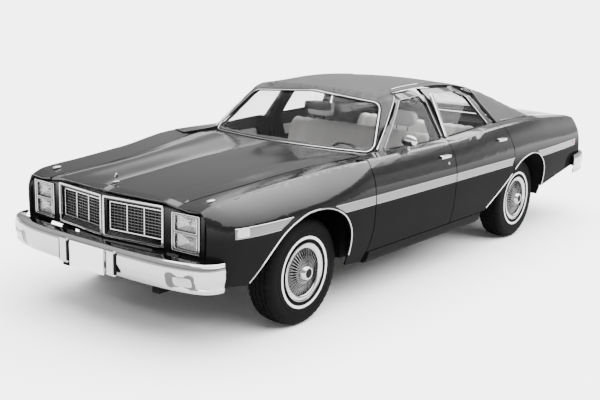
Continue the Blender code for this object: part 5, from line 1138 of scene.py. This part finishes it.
for end, y, side, word in WHEELS:
    body, place = f"wheel_{end}_{word}", (side * HALF_TRACK, y, AXLE_Z)
    for label, (points, faces), finish in (
        ("rim", merged(lathe(cover_profile, 72), lathe(hub_profile, 40)), chrome),
        ("wires", merged(*wires), satin_bright),
        ("dish", lathe(dish_profile, 48), black_trim),
        ("cap", lathe(cap_profile, 32), black_trim),
    ):
        solid = moved(points, place, side), faces
        piece = fit(f"cover_{label}_{end}_{word}", solid, body, finish)
        if label == "rim":
            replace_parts(piece, body)
print("wires a wheel", len(wires))

# %% [markdown]
# The tyres have a narrow white band near the rim, raised ribs on the shoulder, and a tread of four
# grooves with cross cuts. The cross cuts lower every third step of the lathe on the tread's outer rows.

# %% Tyres
half_tyre = [(0.1902, 0.075), (0.194, 0.086), (0.204, 0.0925), (0.209, 0.0945), (0.2125, 0.0962)]
half_tyre += [(0.2275, 0.0985), (0.2300, 0.0975), (0.255, 0.0990), (0.262, 0.0985), (0.264, 0.0970)]
half_tyre += [(0.268, 0.0970), (0.270, 0.0985), (0.295, 0.0985), (0.312, 0.0945), (0.325, 0.0885)]
half_tyre += [(0.333, 0.0815), (0.337, 0.0745)]
tread = [(0.3395, 0.064), (0.3405, 0.054), (0.333, 0.053), (0.333, 0.048), (0.3415, 0.047)]
tread += [(0.3430, 0.022), (0.335, 0.021), (0.335, 0.016), (0.3435, 0.015)]
tyre_profile = half_tyre + tread + [(r, -x) for r, x in reversed(half_tyre + tread)]
FIRST_TREAD, STEPS, CUT_DEPTH = len(half_tyre) - 3, 144, 0.0045
WHITE_BAND = (0.2115, 0.2290)


def tread_cut(i, k):
    """How far a tyre's point is lowered by the cross cuts."""
    row = min(k, len(tyre_profile) - 1 - k)
    if row < FIRST_TREAD:
        return 0.0
    outer = row < FIRST_TREAD + 5
    on_rib = outer or row > FIRST_TREAD + 6
    return -CUT_DEPTH if on_rib and (i + (not outer)) % 3 == 0 else 0.0


for end, y, side, word in WHEELS:
    points, faces = lathe(tyre_profile, STEPS, tread_cut)
    mesh = mesh_from("tyre", moved(points, (side * HALF_TRACK, y, AXLE_Z), side), faces)
    piece = fitted(f"detailed_tyre_{end}_{word}", mesh, f"wheel_{end}_{word}", tyre_rubber, 30.0)
    mesh.materials.append(white_rubber)
    for face in mesh.polygons:
        offset = face.center - Vector((side * HALF_TRACK, y, AXLE_Z))
        if side * offset.x > 0.05 and WHITE_BAND[0] < math.hypot(offset.y, offset.z) < WHITE_BAND[1]:
            face.material_index = 1
    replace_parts(piece, f"tyre_{end}_{word}")
print("tyre triangles", 2 * len(faces))

# %% [markdown]
# ## The nose
# The nose is a shallow V in plan, so each grille and lamp is drawn flat and then turned into place
# about its inner edge. Fine upright bars fill the grille's three columns, and ribs run down its sill.


# %% Placing on the nose
def on_nose(points, inner_x, turn, side):
    """Flat points, facing -Y at y = 0, moved onto one side of the nose."""
    place = Matrix.Translation((inner_x, nose_y(inner_x), 0.0)) @ Matrix.Rotation(turn, 4, "Z")
    return moved([place @ Vector(p) for p in points], (0, 0, 0), side)


def block(low, high, edge=0.0006):
    """Points and faces of a slat with its long front edges taken off."""
    (x0, y0, z0), (x1, y1, z1) = low, high
    ring = [(x0, y1), (x0, y0 + edge), (x0 + edge, y0), (x1 - edge, y0), (x1, y0 + edge), (x1, y1)]
    points = [Vector((x, y, z)) for z in (z0, z1) for x, y in ring]
    count = len(ring)
    faces = [(k, (k + 1) % count, count + (k + 1) % count, count + k) for k in range(count)]
    return points, faces + [tuple(range(count)), tuple(count + k for k in range(count))]


# %% [markdown]
# Each lamp housing holds two oblong sealed beams, one over the other. A sealed beam is a bowl with a
# ribbed glass front, so the bowl is a dished grid with a small bulb shield, and the glass bulges a little.


# %% Lamp housings
def cut_plate(name, outline, holes, front, back, edge):
    """A plate in the XZ plane with holes and rounded edges, as a filled curve turned into a mesh."""
    data = bpy.data.curves.new(name, "CURVE")
    data.dimensions = "2D"
    data.fill_mode = "BOTH"
    data.extrude = (back - front) / 2 - edge
    data.bevel_depth = edge
    data.bevel_resolution = 2
    data.offset = -edge
    for loop in (outline, *holes):
        spline = data.splines.new("POLY")
        spline.points.add(len(loop) - 1)
        for point, (a, b) in zip(spline.points, loop):
            point.co = (a, b, 0.0, 1.0)
        spline.use_cyclic_u = True
    flat = bpy.data.objects.new(name + "_curve", data)
    bpy.context.scene.collection.objects.link(flat)
    bpy.context.view_layer.update()
    mesh = bpy.data.meshes.new_from_object(flat.evaluated_get(bpy.context.evaluated_depsgraph_get()))
    bpy.data.objects.remove(flat)
    middle = (front + back) / 2
    points = [Vector((v.co.x, middle - v.co.z, v.co.y)) for v in mesh.vertices]
    return points, [tuple(face.vertices) for face in mesh.polygons]


def oblong(low, high, radius, steps=4):
    """A rectangle with rounded corners."""
    corners = [(low[0], low[1]), (high[0], low[1]), (high[0], high[1]), (low[0], high[1])]
    return [tuple(p) for p in rounded_path(corners, radius, steps)]


def dished(outline, depth_of, rings):
    """A sheet spanning an outline in the XZ plane. Its depth (+Y) follows the share out from the middle."""
    centre = middle_of(outline)
    points, faces = [Vector((centre.x, depth_of(0.0), centre.y))], []
    count = len(outline)
    for ring in rings:
        for p in outline:
            q = centre + (Vector(p) - centre) * ring
            points.append(Vector((q.x, depth_of(ring), q.y)))
    for k in range(count):
        faces.append((0, 1 + k, 1 + (k + 1) % count))
    for r in range(len(rings) - 1):
        a, b = 1 + r * count, 1 + (r + 1) * count
        faces += [(a + k, b + k, b + (k + 1) % count, a + (k + 1) % count) for k in range(count)]
    return points, faces


# %% Grille
GRILLE_X, GRILLE_RAKE = 0.031, math.atan(0.118)
FRAME_LOW, FRAME_HIGH = (-0.026, 0.580), (0.438, 0.832)
INSERT_LOW, INSERT_HIGH = (0.008, 0.620), (0.414, 0.798)
COLUMNS, CELLS, ROWS = 3, 5, 9


def grown(low, high, edge):
    """A rectangle's two corners moved out by an edge."""
    return (low[0] - edge, low[1] - edge), (high[0] + edge, high[1] + edge)


def ring_plate(low, high, edge, front, back, radius):
    """A bright frame: a rectangle with a smaller one cut out of it."""
    hole = oblong(*grown(low, high, -edge), max(0.002, radius - edge * 0.5))
    return cut_plate("ring", oblong(low, high, radius), [hole], front, back, 0.0018)


def tunnel(outline, front, back):
    """The walls between one outline at the front and the same outline at the back."""
    count = len(outline)
    points = [Vector((x, front, z)) for x, z in outline] + [Vector((x, back, z)) for x, z in outline]
    return points, [(k, (k + 1) % count, count + (k + 1) % count, count + k) for k in range(count)]


outer_frame = ring_plate(FRAME_LOW, FRAME_HIGH, 0.013, -0.010, 0.004, 0.014)
inner_frame = ring_plate(INSERT_LOW, INSERT_HIGH, 0.009, 0.014, 0.024, 0.008)
low, high = grown(INSERT_LOW, INSERT_HIGH, -0.007)
bars, uprights, posts, ribs = [], [], [], []
for i in range(1, ROWS):
    z = low[1] + (high[1] - low[1]) * i / ROWS
    bars.append(bar((low[0], 0.020, z), (high[0], 0.020, z), 0.0024, 6))
for i in range(1, COLUMNS * CELLS):
    x = low[0] + (high[0] - low[0]) * i / (COLUMNS * CELLS)
    if i % CELLS:
        uprights.append(block((x - 0.0009, 0.0230, low[1]), (x + 0.0009, 0.0290, high[1])))
    else:
        posts.append(block((x - 0.0036, 0.0160, low[1]), (x + 0.0036, 0.0260, high[1])))
for i in range(40):
    x = FRAME_LOW[0] + 0.020 + 0.0108 * i
    ribs.append(bar((x, -0.004, FRAME_LOW[1] + 0.014), (x, 0.022, INSERT_LOW[1] - 0.002), 0.0016, 5))
walls = tunnel(oblong(*grown(FRAME_LOW, FRAME_HIGH, -0.012), 0.008), 0.000, 0.040)
back_outline = oblong(*grown(FRAME_LOW, FRAME_HIGH, -0.010), 0.004)
backing = ([Vector((x, 0.040, z)) for x, z in back_outline], [tuple(range(len(back_outline)))])


def fit_on_nose(kind, layers, inner_x, rake, side, word):
    """Fits layers of parts on one side of the nose, and gives the first layer's piece."""
    pieces = []
    for label, parts, finish in layers:
        points, faces = merged(*parts)
        solid = on_nose(points, inner_x, rake, side), faces
        pieces.append(fit(f"{kind}_{label}_{word}", solid, "body", finish))
    return pieces[0]


grille_layers = (
    ("frames", [outer_frame, inner_frame, *posts], chrome),
    ("bars", bars, satin_bright),
    ("ribs", ribs + uprights, dark_bright),
    ("walls", [walls, backing], black_trim),
)
for side, word in SIDES:
    piece = fit_on_nose("grille", grille_layers, GRILLE_X, GRILLE_RAKE, side, word)
    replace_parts(piece, f"grille_{word}")
print("cells a grille", COLUMNS * CELLS * ROWS)

# %% Lamps
LAMP_X, LAMP_WIDTH, LAMP_RAKE = 0.528, 0.208, math.atan(0.060)
LAMP_LOW, LAMP_HIGH, LENS_WIDTH, LENS_HEIGHT = 0.584, 0.810, 0.166, 0.092
gap = (LAMP_HIGH - LAMP_LOW - 2 * LENS_HEIGHT) / 3
edge_x = (LAMP_WIDTH - LENS_WIDTH) / 2
lens_outlines = []
for i in range(2):
    z = LAMP_LOW + gap + (LENS_HEIGHT + gap) * i
    lens_outlines.append(oblong((edge_x, z), (edge_x + LENS_WIDTH, z + LENS_HEIGHT), 0.010))
housing_outline = oblong((0, LAMP_LOW), (LAMP_WIDTH, LAMP_HIGH), 0.010)
housing = cut_plate("housing", housing_outline, lens_outlines, -0.006, 0.034, 0.002)
rings = [0.12, 0.3, 0.5, 0.7, 0.85, 0.96, 1.0]
bowls = [dished(outline, lambda s: 0.033 - 0.016 * s * s, rings) for outline in lens_outlines]
glasses = [dished(outline, lambda s: 0.004 + 0.006 * s**4, rings) for outline in lens_outlines]
shields = []
for outline in lens_outlines:
    middle = middle_of(outline)
    shields.append(bar((middle.x, 0.032, middle.y), (middle.x, 0.016, middle.y), 0.009, 14, 0.006))
lamp_rims = [ring_plate((0.0, LAMP_LOW), (LAMP_WIDTH, LAMP_HIGH), 0.006, -0.009, 0.002, 0.010)]
for i in range(2):
    z = LAMP_LOW + gap + (LENS_HEIGHT + gap) * i
    corners = grown((edge_x, z), (edge_x + LENS_WIDTH, z + LENS_HEIGHT), 0.003)
    lamp_rims.append(ring_plate(*corners, 0.005, -0.009, 0.002, 0.012))
lamp_layers = (
    ("housing", [housing], dark_bright),
    ("rims", lamp_rims, chrome),
    ("bowls", bowls, satin_bright),
    ("shields", shields, chrome),
    ("glasses", glasses, lamp_glass),
)
for side, word in SIDES:
    piece = fit_on_nose("lamp", lamp_layers, LAMP_X, LAMP_RAKE, side, word)
    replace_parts(piece, f"headlamps_{word}")
print("sealed beams", 2 * len(lens_outlines))

# %% [markdown]
# ## Bumpers
# A bumper is one pressed section carried round the car's end. Its path is smoothed here so that the
# plated corners reflect in unbroken lines, and the guards, the rubber on them and the parking lamps
# are laid on it.

# %% Bumper beams
BUMPER_SECTION = [(0.095, 0.574), (0.030, 0.570), (0.008, 0.556), (0.000, 0.530), (0.000, 0.478)]
BUMPER_SECTION += [(0.014, 0.430), (0.032, 0.396), (0.044, 0.396), (0.016, 0.482), (0.018, 0.530)]
BUMPER_SECTION += [(0.095, 0.562)]
GUARD_X, GUARD_TIP = 0.213, 2.7733
FRONT_PATH = [(0.000, -2.7650, 1.0), (0.300, -2.7630, 1.0), (0.550, -2.7500, 1.0), (0.720, -2.7170, 0.8)]
FRONT_PATH += [(0.820, -2.6780, 0.6), (0.868, -2.6380, 0.45), (0.896, -2.5900, 0.4), (0.906, -2.5400, 0.4)]
REAR_PATH = [(0.000, 2.7650, 1.0), (0.320, 2.7630, 1.0), (0.580, 2.7515, 1.0), (0.760, 2.7165, 0.8)]
REAR_PATH += [(0.870, 2.6465, 0.6), (0.928, 2.5465, 0.30), (0.952, 2.4165, 0.26), (0.9575, 2.2670, 0.26)]


def beam(path, rise, outward):
    """The bumper's rounded section along its smoothed path."""
    whole = [(-x, y, reach) for x, y, reach in reversed(path[1:])] + path
    line = curve_through(whole, 5)
    section = rounded_path(BUMPER_SECTION, 0.010, 3)
    points = []
    for i, point in enumerate(line):
        before, after = line[max(i - 1, 0)], line[min(i + 1, len(line) - 1)]
        along = Vector((after.x - before.x, after.y - before.y)).normalized()
        inward = Vector((-along.y, along.x)) * -outward
        for depth, z in section:
            flat = Vector((point.x, point.y)) + inward * depth * (point.z if depth > 0.016 else 1.0)
            points.append(Vector((flat.x, flat.y, z + rise)))
    return points, tube_faces(len(line), len(section))


def rounded_block(low, high, radius):
    """Points and faces of a block with rounded edges."""
    made = bmesh.new()
    bmesh.ops.create_cube(made, size=1.0)
    for vertex in made.verts:
        for axis in range(3):
            vertex.co[axis] = (low[axis] + high[axis]) / 2 + vertex.co[axis] * (high[axis] - low[axis])
    bmesh.ops.bevel(made, geom=made.edges[:], offset=radius, segments=3, affect="EDGES", profile=0.5)
    made.verts.index_update()
    points = [vertex.co.copy() for vertex in made.verts]
    faces = [tuple(v.index for v in face.verts) for face in made.faces]
    made.free()
    return points, faces


for end, path, rise, outward in (("front", FRONT_PATH, 0.0, -1.0), ("rear", REAR_PATH, 0.030, 1.0)):
    parts, pads = [beam(path, rise, outward)], []
    tip, face = outward * GUARD_TIP, path[0][1]
    for side, word in SIDES:
        x = side * GUARD_X
        y_low, y_high = sorted((tip, face - outward * 0.012))
        corners = (x - 0.040, y_low, 0.400 + rise), (x + 0.040, y_high, 0.555 + rise)
        parts.append(rounded_block(*corners, 0.008))
        for edge in (-1, 1):
            low_x, high_x = sorted((x + edge * 0.026, x + edge * 0.0412))
            y_low, y_high = sorted((tip + outward * 0.0002, face - outward * 0.012))
            pads.append(rounded_block((low_x, y_low, 0.412 + rise), (high_x, y_high, 0.543 + rise), 0.004))
        low_x, high_x = sorted((side * 0.380, side * 0.440))
        y_low, y_high = sorted((2.597 * outward, face - outward * 0.030))
        pads.append(rounded_block((low_x, y_low, 0.475), (high_x, y_high, 0.505), 0.003))
    piece = fit(f"{end}_bumper_plated", merged(*parts), "body", chrome, 40.0)
    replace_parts(piece, f"{end}_bumper")
    fit(f"{end}_guard_rubber", merged(*pads), "body", black_trim)
print("bumpers", 2)


# %% [markdown]
# Small lamps and locks sit on curved skins. A pad takes an outline, drops it onto the skin from one
# direction and domes it a little.

# %% Pads
def pad(name, body, cast, outline, proud, finish, rim=None, sink=0.001):
    """A domed pad: the outline's rings, cast onto a skin and raised towards the middle."""
    centre = middle_of(outline)
    rings = ((1.0, -sink), (1.0, proud * 0.45), (0.93, proud * 0.8), (0.75, proud * 0.95), (0.35, proud))
    count = len(outline)
    points, faces, edge = [], [], []
    for share, height in rings:
        for p in outline:
            q = centre + (Vector(p) - centre) * share
            place, out = cast(q.x, q.y)
            points.append(place + out * height)
            if height == -sink:
                edge.append((place, out))
    place, out = cast(centre.x, centre.y)
    points.append(place + out * proud)
    for r in range(len(rings) - 1):
        a, b = r * count, (r + 1) * count
        faces += [(a + k, a + (k + 1) % count, b + (k + 1) % count, b + k) for k in range(count)]
    last = (len(rings) - 1) * count
    faces += [(last + k, last + (k + 1) % count, len(points) - 1) for k in range(count)]
    if rim:
        strip(f"{name}_rim", body, edge, bead(rim, proud * 0.9), chrome, closed=True)
    return fit(name, (points, faces), body, finish)


# %% Parking lamps, side markers and locks
clear_lens = make_enamel("clear_lens", 0.34, 0.12)
panel_mesh["beam"] = bpy.data.objects["front_bumper_plated"].data
beam_skin = skin_of("beam")
around = spread(0, 2 * math.pi * 15 / 16, 16)


def ahead_at(x, z):
    return from_front(beam_skin, x, z)


for side, word in SIDES:
    # The parking-lamp pocket is not sunk into the bumper: a nearly flat pad of dark metal stands in for its
    # recess, and its dark colour is the recess's shade painted in.
    outline = oblong((side * 0.716 - 0.092, 0.414), (side * 0.716 + 0.092, 0.512), 0.030, 6)
    pad(f"lamp_pocket_{word}", "body", ahead_at, outline, 0.0010, dark_bright, 0.008)
    outline = oblong((side * 0.734 - 0.054, 0.438), (side * 0.734 + 0.054, 0.490), 0.018, 6)
    pad(f"parking_lamp_{word}", "body", ahead_at, outline, 0.005, clear_lens, 0.005)
    front_outline = oblong((-2.458, 0.701), (-2.380, 0.744), 0.006, 3)
    rear_outline = oblong((2.235, 0.701), (2.322, 0.744), 0.006, 3)
    lock = [(-0.195 + 0.011 * math.cos(a), 0.842 + 0.011 * math.sin(a)) for a in around]
    for name, panel, outline, proud, finish, rim in (
        ("front_marker", f"fender_{word}", front_outline, 0.006, clear_lens, 0.005),
        ("rear_marker", f"quarter_{word}", rear_outline, 0.006, red_lens, 0.005),
        ("door_front_lock", f"door_front_{word}", lock, 0.005, chrome, None),
    ):
        skin = skin_of(panel)

        def beside(y, z):
            return from_side(skin, side, y, z)

        pad(f"{name}_{word}", body_of(panel), beside, outline, proud, finish, rim)
print("lamps and locks", 10)

# %% [markdown]
# The pull handles are plated bars with rounded ends, standing off the skin. Each is a rounded section
# that shrinks at its ends.


# %% Door handles
def handle(name, body, skin, side, y, z):
    """A plated pull handle along a door."""
    half, points = 0.0668, []
    stations = [(-1.0, 0.55), (-0.985, 0.85), (-0.93, 1.0), (-0.5, 1.0), (0.0, 1.0)]
    stations += [(0.5, 1.0), (0.93, 1.0), (0.985, 0.85), (1.0, 0.55)]
    ring = [(-0.0128, -0.002), (-0.0128, 0.011), (-0.0100, 0.0160), (0.0, 0.0172), (0.0100, 0.0160)]
    ring += [(0.0128, 0.011), (0.0128, -0.002)]
    for t, size in stations:
        for up, out in ring:
            level = from_side(skin, side, y + t * half, z - 0.016)[0].x
            points.append(Vector((level + side * out * (0.92 + 0.08 * size), y + t * half, z + up * size)))
    return fit(name, (points, tube_faces(len(stations), len(ring))), body, chrome)


for side, word in SIDES:
    for door, y, z in (("door_front", -0.2385, 0.893), ("door_rear", 0.6815, 0.920)):
        handle(f"{door}_handle_{word}", f"{door}_{word}", skin_of(f"{door}_{word}"), side, y, z)
print("handles", 4)


# %% Small rounded forms
def pillow(centre, half, power=3.5, rows=12, columns=20):
    """Points and faces of a softly squared ball."""
    points = []

    def curved(value):
        return math.copysign(abs(value) ** (2 / power), value)

    for i in range(rows + 1):
        a = math.pi * (i / rows - 0.5)
        for k in range(columns):
            b = 2 * math.pi * k / columns
            flat = curved(math.cos(a))
            out = (flat * curved(math.cos(b)), flat * curved(math.sin(b)), curved(math.sin(a)))
            points.append(Vector(centre) + Vector([o * h for o, h in zip(out, half)]))
    return points, tube_faces(rows + 1, columns)[:-2]


# %% Ornament, turn indicators and inside mirror
hood_skin = skin_of("hood")
place, _ = from_above(hood_skin, 0.0, -2.535)
ornament = merged(
    pillow(place + Vector((0, 0.004, 0.003)), (0.014, 0.026, 0.006), 2.5),
    bar(place + Vector((0, 0, 0.002)), place + Vector((0, 0.004, 0.022)), 0.0035, 8, 0.0022),
    pillow(place + Vector((0, 0.007, 0.036)), (0.0035, 0.014, 0.018), 2.2),
)
fit("ornament", ornament, "hood", chrome)
for side, word in SIDES:
    place, _ = from_above(skin_of(f"fender_{word}"), side * 0.690, -2.430)
    pod = pillow(place + Vector((0, 0, 0.004)), (0.019, 0.030, 0.011), 2.6)
    fit(f"turn_pod_{word}", pod, "body", chrome)
    lens = pillow(place + Vector((0, -0.022, 0.004)), (0.013, 0.011, 0.007), 2.6)
    fit(f"turn_lens_{word}", lens, "body", clear_lens)
MIRROR_PLACE = Vector((0.882, -0.6285, 1.043))
mirror = merged(
    pillow(MIRROR_PLACE, (0.063, 0.029, 0.041), 2.3, 16, 28),
    bar(MIRROR_PLACE + Vector((-0.006, 0, -0.030)), (0.878, -0.6285, 0.984), 0.0085, 14, 0.012),
    bar((0.878, -0.6285, 0.986), (0.876, -0.6285, 0.958), 0.012, 14, 0.027),
)
piece = fit("mirror_shell", mirror, "door_front_left", chrome)
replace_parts(piece, "door_mirror_left")
mirror_face = pillow(MIRROR_PLACE + Vector((0, 0.0255, 0)), (0.052, 0.004, 0.032), 2.3)
fit("mirror_face", mirror_face, "door_front_left", dark_bright)
fit("inside_mirror", pillow((0.0, -0.5295, 1.195), (0.1225, 0.0155, 0.0325), 5.0), "body", black_trim)
print("small forms", 6)

# %% [markdown]
# ## Seats
# Both benches are drawn as a section of the cushion or the backrest, carried across the car. The
# section shrinks a little at each seam, so the padding swells between the seams as stuffed channels do,
# and it rounds off at both ends.


# %% Padded benches
def channelled(section, half_x, channels, depth, end_radius=0.045):
    """Points and faces of padding with sewn channels, from a section of stations and heights."""
    loop = even_path(rounded_path(section, 0.040, 4), 0.028)
    centre = middle_of(loop)
    steps, points = channels * 8, []
    for i in range(steps + 1):
        x = -half_x + 2 * half_x * i / steps
        swell = abs(math.sin(math.pi * channels * i / steps)) ** 0.5
        past = max(0.0, (abs(x) - half_x + end_radius) / end_radius)
        inset = depth * (1 - swell) + end_radius * (1 - math.sqrt(max(0.0, 1 - past * past)))
        points += [Vector((x, q.x, q.y)) for q in (p + (centre - p).normalized() * inset for p in loop)]
    return points, tube_faces(steps + 1, len(loop))


FRONT_CUSHION = [(-0.664, 0.512), (-0.655, 0.560), (-0.600, 0.586), (-0.440, 0.590), (-0.185, 0.552)]
FRONT_CUSHION += [(-0.190, 0.512)]
FRONT_BACK = [(-0.185, 0.520), (-0.138, 0.620), (-0.066, 0.805), (0.002, 0.975), (0.040, 1.003)]
FRONT_BACK += [(0.088, 0.985), (0.097, 0.900), (0.018, 0.600), (-0.032, 0.512)]
REAR_CUSHION = [(0.264, 0.330), (0.254, 0.500), (0.286, 0.568), (0.456, 0.584), (0.690, 0.545)]
REAR_CUSHION += [(0.692, 0.420), (0.600, 0.330)]
REAR_BACK = [(0.698, 0.540), (0.728, 0.602), (0.808, 0.802), (0.883, 0.948), (0.916, 0.964), (0.967, 0.953)]
REAR_BACK += [(0.973, 0.900), (0.935, 0.545)]
for name, section, half_x, channels, node in (
    ("front_cushion", FRONT_CUSHION, 0.676, 14, "front_seat"),
    ("front_backrest", FRONT_BACK, 0.676, 14, None),
    ("rear_cushion", REAR_CUSHION, 0.582, 12, "rear_seat"),
    ("rear_backrest", REAR_BACK, 0.582, 12, None),
):
    piece = fit(name, channelled(section, half_x, channels, 0.013), "body", seat_cloth, 60.0)
    if node:
        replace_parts(piece, node)
for side, word in SIDES:
    rest = pillow((side * 0.40, 0.053, 1.090), (0.124, 0.039, 0.059), 4.0)
    piece = fit(f"head_restraint_{word}", rest, "body", seat_vinyl, 60.0)
    post_xs = [side * 0.40 + x for x in (-0.05, 0.05)]
    posts = [bar((x, 0.053, 0.985), (x, 0.053, 1.050), 0.005, 10) for x in post_xs]
    fit(f"restraint_posts_{word}", merged(*posts), "body", chrome)
    low_x, high_x = sorted((side * 0.180, side * 0.660))
    base = rounded_block((low_x, -0.640, 0.345), (high_x, -0.060, 0.516), 0.020)
    fit(f"seat_base_{word}", base, "body", seat_vinyl)
print("padded pieces", 6)

# %% Door cards and armrests
for side, word in SIDES:
    for door, low_y, high_y in (("door_front", -0.960, -0.270), ("door_rear", 0.040, 0.600)):
        outline = oblong((low_y, 0.450), (high_y, 0.905), 0.030)
        flat, faces = cut_plate("card", outline, [], 0.0, 0.0045, 0.0012)
        points = [Vector((side * (0.8250 + p.y), p.x, p.z)) for p in flat]
        fit(f"{door}_card_{word}", (points, faces), f"{door}_{word}", seat_vinyl)
        middle = (low_y + high_y) / 2 + 0.06
        arm = pillow((side * 0.800, middle, 0.660), (0.025, 0.170, 0.030), 4.0)
        fit(f"{door}_armrest_{word}", arm, f"{door}_{word}", seat_vinyl)
print("door cards", 4)

# %% [markdown]
# ## The tail
# Each tail lamp is a red panel in a bright frame, divided by upright bars. The frame leans with the
# tail, so its points are set back from the tail's own sloping face. A small painted corner closes the
# tail above each lamp, beside the lid.


# %% Tail lamp frames
def on_tail(points, side):
    """Flat points, facing outwards at y = 0, moved onto the leaning tail."""
    found = []
    for p in points:
        lean = 2.4115 + 0.10 * share_between(0.95 - p.z, 0.0, 0.35)
        found.append(Vector((side * p.x, lean + 0.012 - p.y, p.z)))
    return found


tail_frame = ring_plate((0.426, 0.651), (0.834, 0.839), 0.009, -0.006, 0.006, 0.010)
dividers = [block((x - 0.003, -0.004, 0.658), (x + 0.003, 0.004, 0.832)) for x in (0.53, 0.63, 0.73)]
for side, word in SIDES:
    points, faces = merged(tail_frame, *dividers)
    fit(f"tail_frame_{word}", (on_tail(points, side), faces), "body", chrome)
    points, faces = rounded_block((0.6945, 2.404, 0.862), (0.824, 2.4165, 0.937), 0.004)
    fit(f"tail_corner_{word}", (moved(points, (0, 0, 0), side), faces), "body", body_paint)
lid_skin = skin_of("deck_lid")
hits = [from_back(lid_skin, x, 0.888) for x in spread(-0.640, 0.640, 24)]
strip("lid_moulding", "deck_lid", hits, bead(0.014, 0.006), chrome)
circle = [(0.013 * math.cos(a), 0.906 + 0.013 * math.sin(a)) for a in around]
pad("lid_lock", "deck_lid", lambda x, z: from_back(lid_skin, x, z), circle, 0.005, chrome)
print("tail frames", 2)
